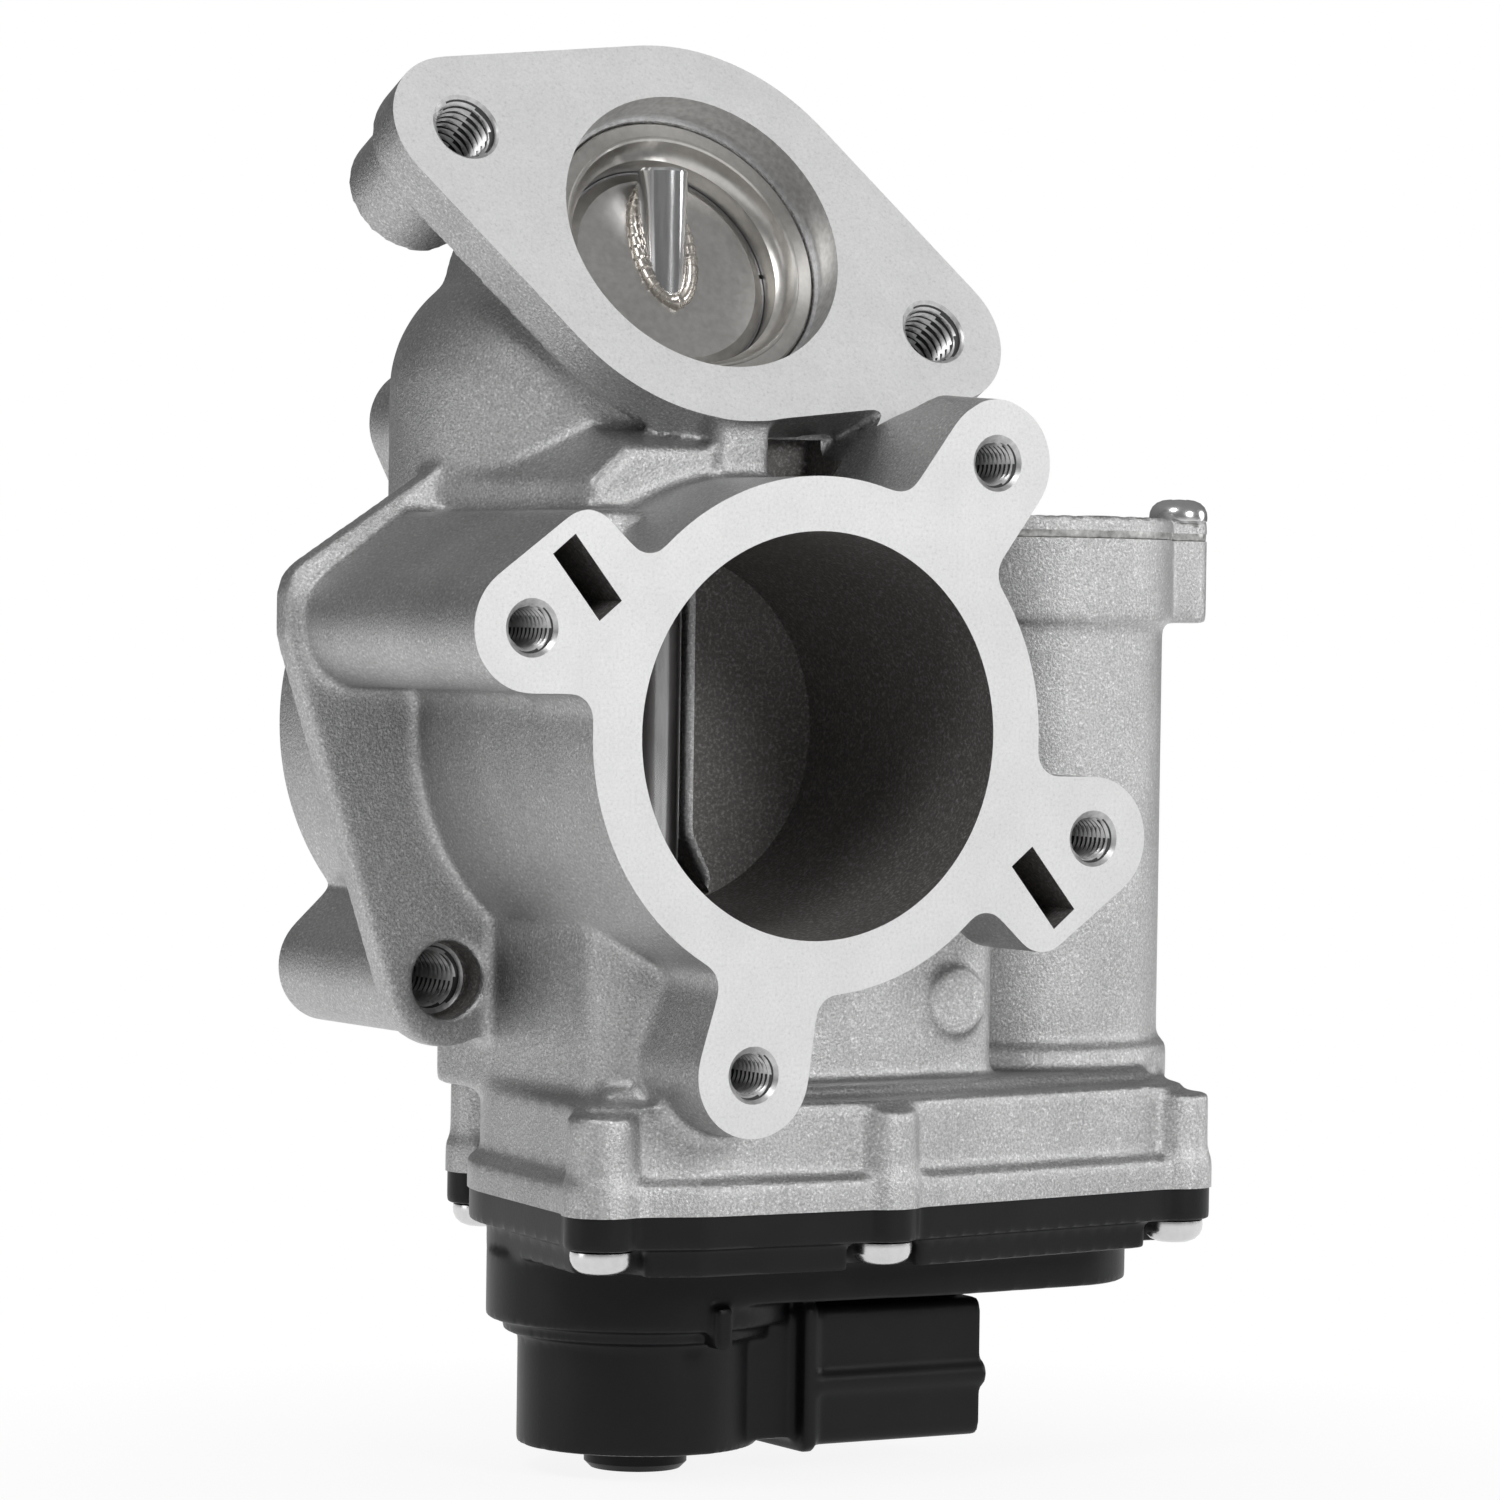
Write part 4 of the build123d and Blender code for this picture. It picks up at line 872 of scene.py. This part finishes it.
def pale_floor():
    """White floor that keeps the object's shadow, fades into the backdrop and is clear from below."""
    shader = Shader("pale floor", (0.9, 0.9, 0.9), 0.0, 0.8)
    haze = shader.noise(30 * mm, 2.0, 0.5)
    shader.color(shader.ramp(haze, ((0.3, 0.88), (0.7, 0.92))))
    distance = shader.add("ShaderNodeVectorMath", operation="LENGTH")
    shader.join(shader.place, distance.inputs[0])
    near = shader.add("ShaderNodeMapRange")
    near.inputs["From Min"].default_value = fade_start
    near.inputs["From Max"].default_value = fade_end
    near.inputs["To Min"].default_value = white_share_near
    near.inputs["To Max"].default_value = 1.0
    shader.join(distance.outputs["Value"], near.inputs["Value"])
    paths = shader.add("ShaderNodeLightPath")
    seen = shader.add("ShaderNodeMath", operation="MAXIMUM")
    shader.join(paths.outputs["Is Camera Ray"], seen.inputs[0])
    shader.join(paths.outputs["Is Glossy Ray"], seen.inputs[1])
    share = shader.add("ShaderNodeMath", operation="MULTIPLY")
    shader.join(near.outputs["Result"], share.inputs[0])
    shader.join(seen.outputs["Value"], share.inputs[1])
    glow = shader.add("ShaderNodeEmission")
    mix = shader.add("ShaderNodeMixShader")
    shader.join(share.outputs["Value"], mix.inputs["Fac"])
    shader.join(shader.surface.outputs["BSDF"], mix.inputs[1])
    shader.join(glow.outputs["Emission"], mix.inputs[2])
    side = shader.add("ShaderNodeNewGeometry")
    clear = shader.add("ShaderNodeBsdfTransparent")
    sides = shader.add("ShaderNodeMixShader")
    shader.join(side.outputs["Backfacing"], sides.inputs["Fac"])
    shader.join(mix.outputs["Shader"], sides.inputs[1])
    shader.join(clear.outputs["BSDF"], sides.inputs[2])
    shader.join(sides.outputs["Shader"], shader.tree.nodes["Material Output"].inputs["Surface"])
    return shader.material


def studio_world():
    """World that is white to the camera and a soft sky, darker below, to everything else."""
    world = bpy.data.worlds.new("studio")
    bpy.context.scene.world = world
    world.use_nodes = True
    add = world.node_tree.nodes.new
    join = world.node_tree.links.new
    direction = add("ShaderNodeTexCoord")
    apart = add("ShaderNodeSeparateXYZ")
    rise = add("ShaderNodeMapRange")
    rise.inputs["From Min"].default_value = -1.0
    sky = add("ShaderNodeValToRGB")
    for element, (position, grey) in zip(sky.color_ramp.elements, (sky_low, sky_high)):
        element.position = position
        element.color = (grey, grey, grey, 1)
    background = world.node_tree.nodes["Background"]
    background.inputs["Strength"].default_value = sky_strength
    white = add("ShaderNodeBackground")
    white.inputs["Color"].default_value = (1, 1, 1, 1)
    paths = add("ShaderNodeLightPath")
    mix = add("ShaderNodeMixShader")
    join(direction.outputs["Generated"], apart.inputs["Vector"])
    join(apart.outputs["Z"], rise.inputs["Value"])
    join(rise.outputs["Result"], sky.inputs["Fac"])
    join(sky.outputs["Color"], background.inputs["Color"])
    join(paths.outputs["Is Camera Ray"], mix.inputs["Fac"])
    join(background.outputs["Background"], mix.inputs[1])
    join(white.outputs["Background"], mix.inputs[2])
    join(mix.outputs["Shader"], world.node_tree.nodes["World Output"].inputs["Surface"])


def stage():
    """Pale floor and soft lamps."""
    bm = bmesh.new()
    bmesh.ops.create_grid(bm, x_segments=1, y_segments=1, size=floor_half_width)
    floor = solid("floor", bm, Matrix.Translation((0, 0, cad_low.z - floor_gap)))
    floor.data.materials.append(pale_floor())
    for name, place, size, power in lamps:
        lamp = bpy.data.lights.new(name, "AREA")
        lamp.shape = "DISK"
        lamp.size = size
        lamp.energy = power
        obj = link(bpy.data.objects.new(name, lamp))
        obj.location = place
        obj.rotation_mode = "QUATERNION"
        obj.rotation_quaternion = (Vector(place) - lamp_aim).to_track_quat("Z", "Y")


def camera():
    """Camera at the photograph's angle."""
    ahead = Vector((sin(camera_turn), cos(camera_turn), 0))
    view = ahead * cos(camera_pitch) - up * sin(camera_pitch)
    level = Vector((cos(camera_turn), -sin(camera_turn), 0))
    rise = level.cross(view)
    right = cos(camera_roll) * level + sin(camera_roll) * rise
    upward = -sin(camera_roll) * level + cos(camera_roll) * rise
    scale = camera_distance / focal_pixels
    across = (origin_pixel_x - photo_size / 2) * scale
    down = (origin_pixel_y - photo_size / 2) * scale
    place = -(right * across - upward * down + view * camera_distance)
    data = bpy.data.cameras.new("camera")
    data.sensor_width = sensor_width
    data.lens = focal_pixels / photo_size * sensor_width
    data.clip_start = 0.05
    data.clip_end = 10
    obj = link(bpy.data.objects.new("camera", data))
    turn = Matrix((right, upward, -view)).transposed().to_4x4()
    obj.matrix_world = Matrix.Translation(place) @ turn
    bpy.context.scene.camera = obj


dress_nodes()
housing_casting()
seat()
flap()
weld_bead()
screws()
cap()
moulded_cover()
studio_world()
stage()
camera()
bpy.context.scene.view_settings.view_transform = "Standard"
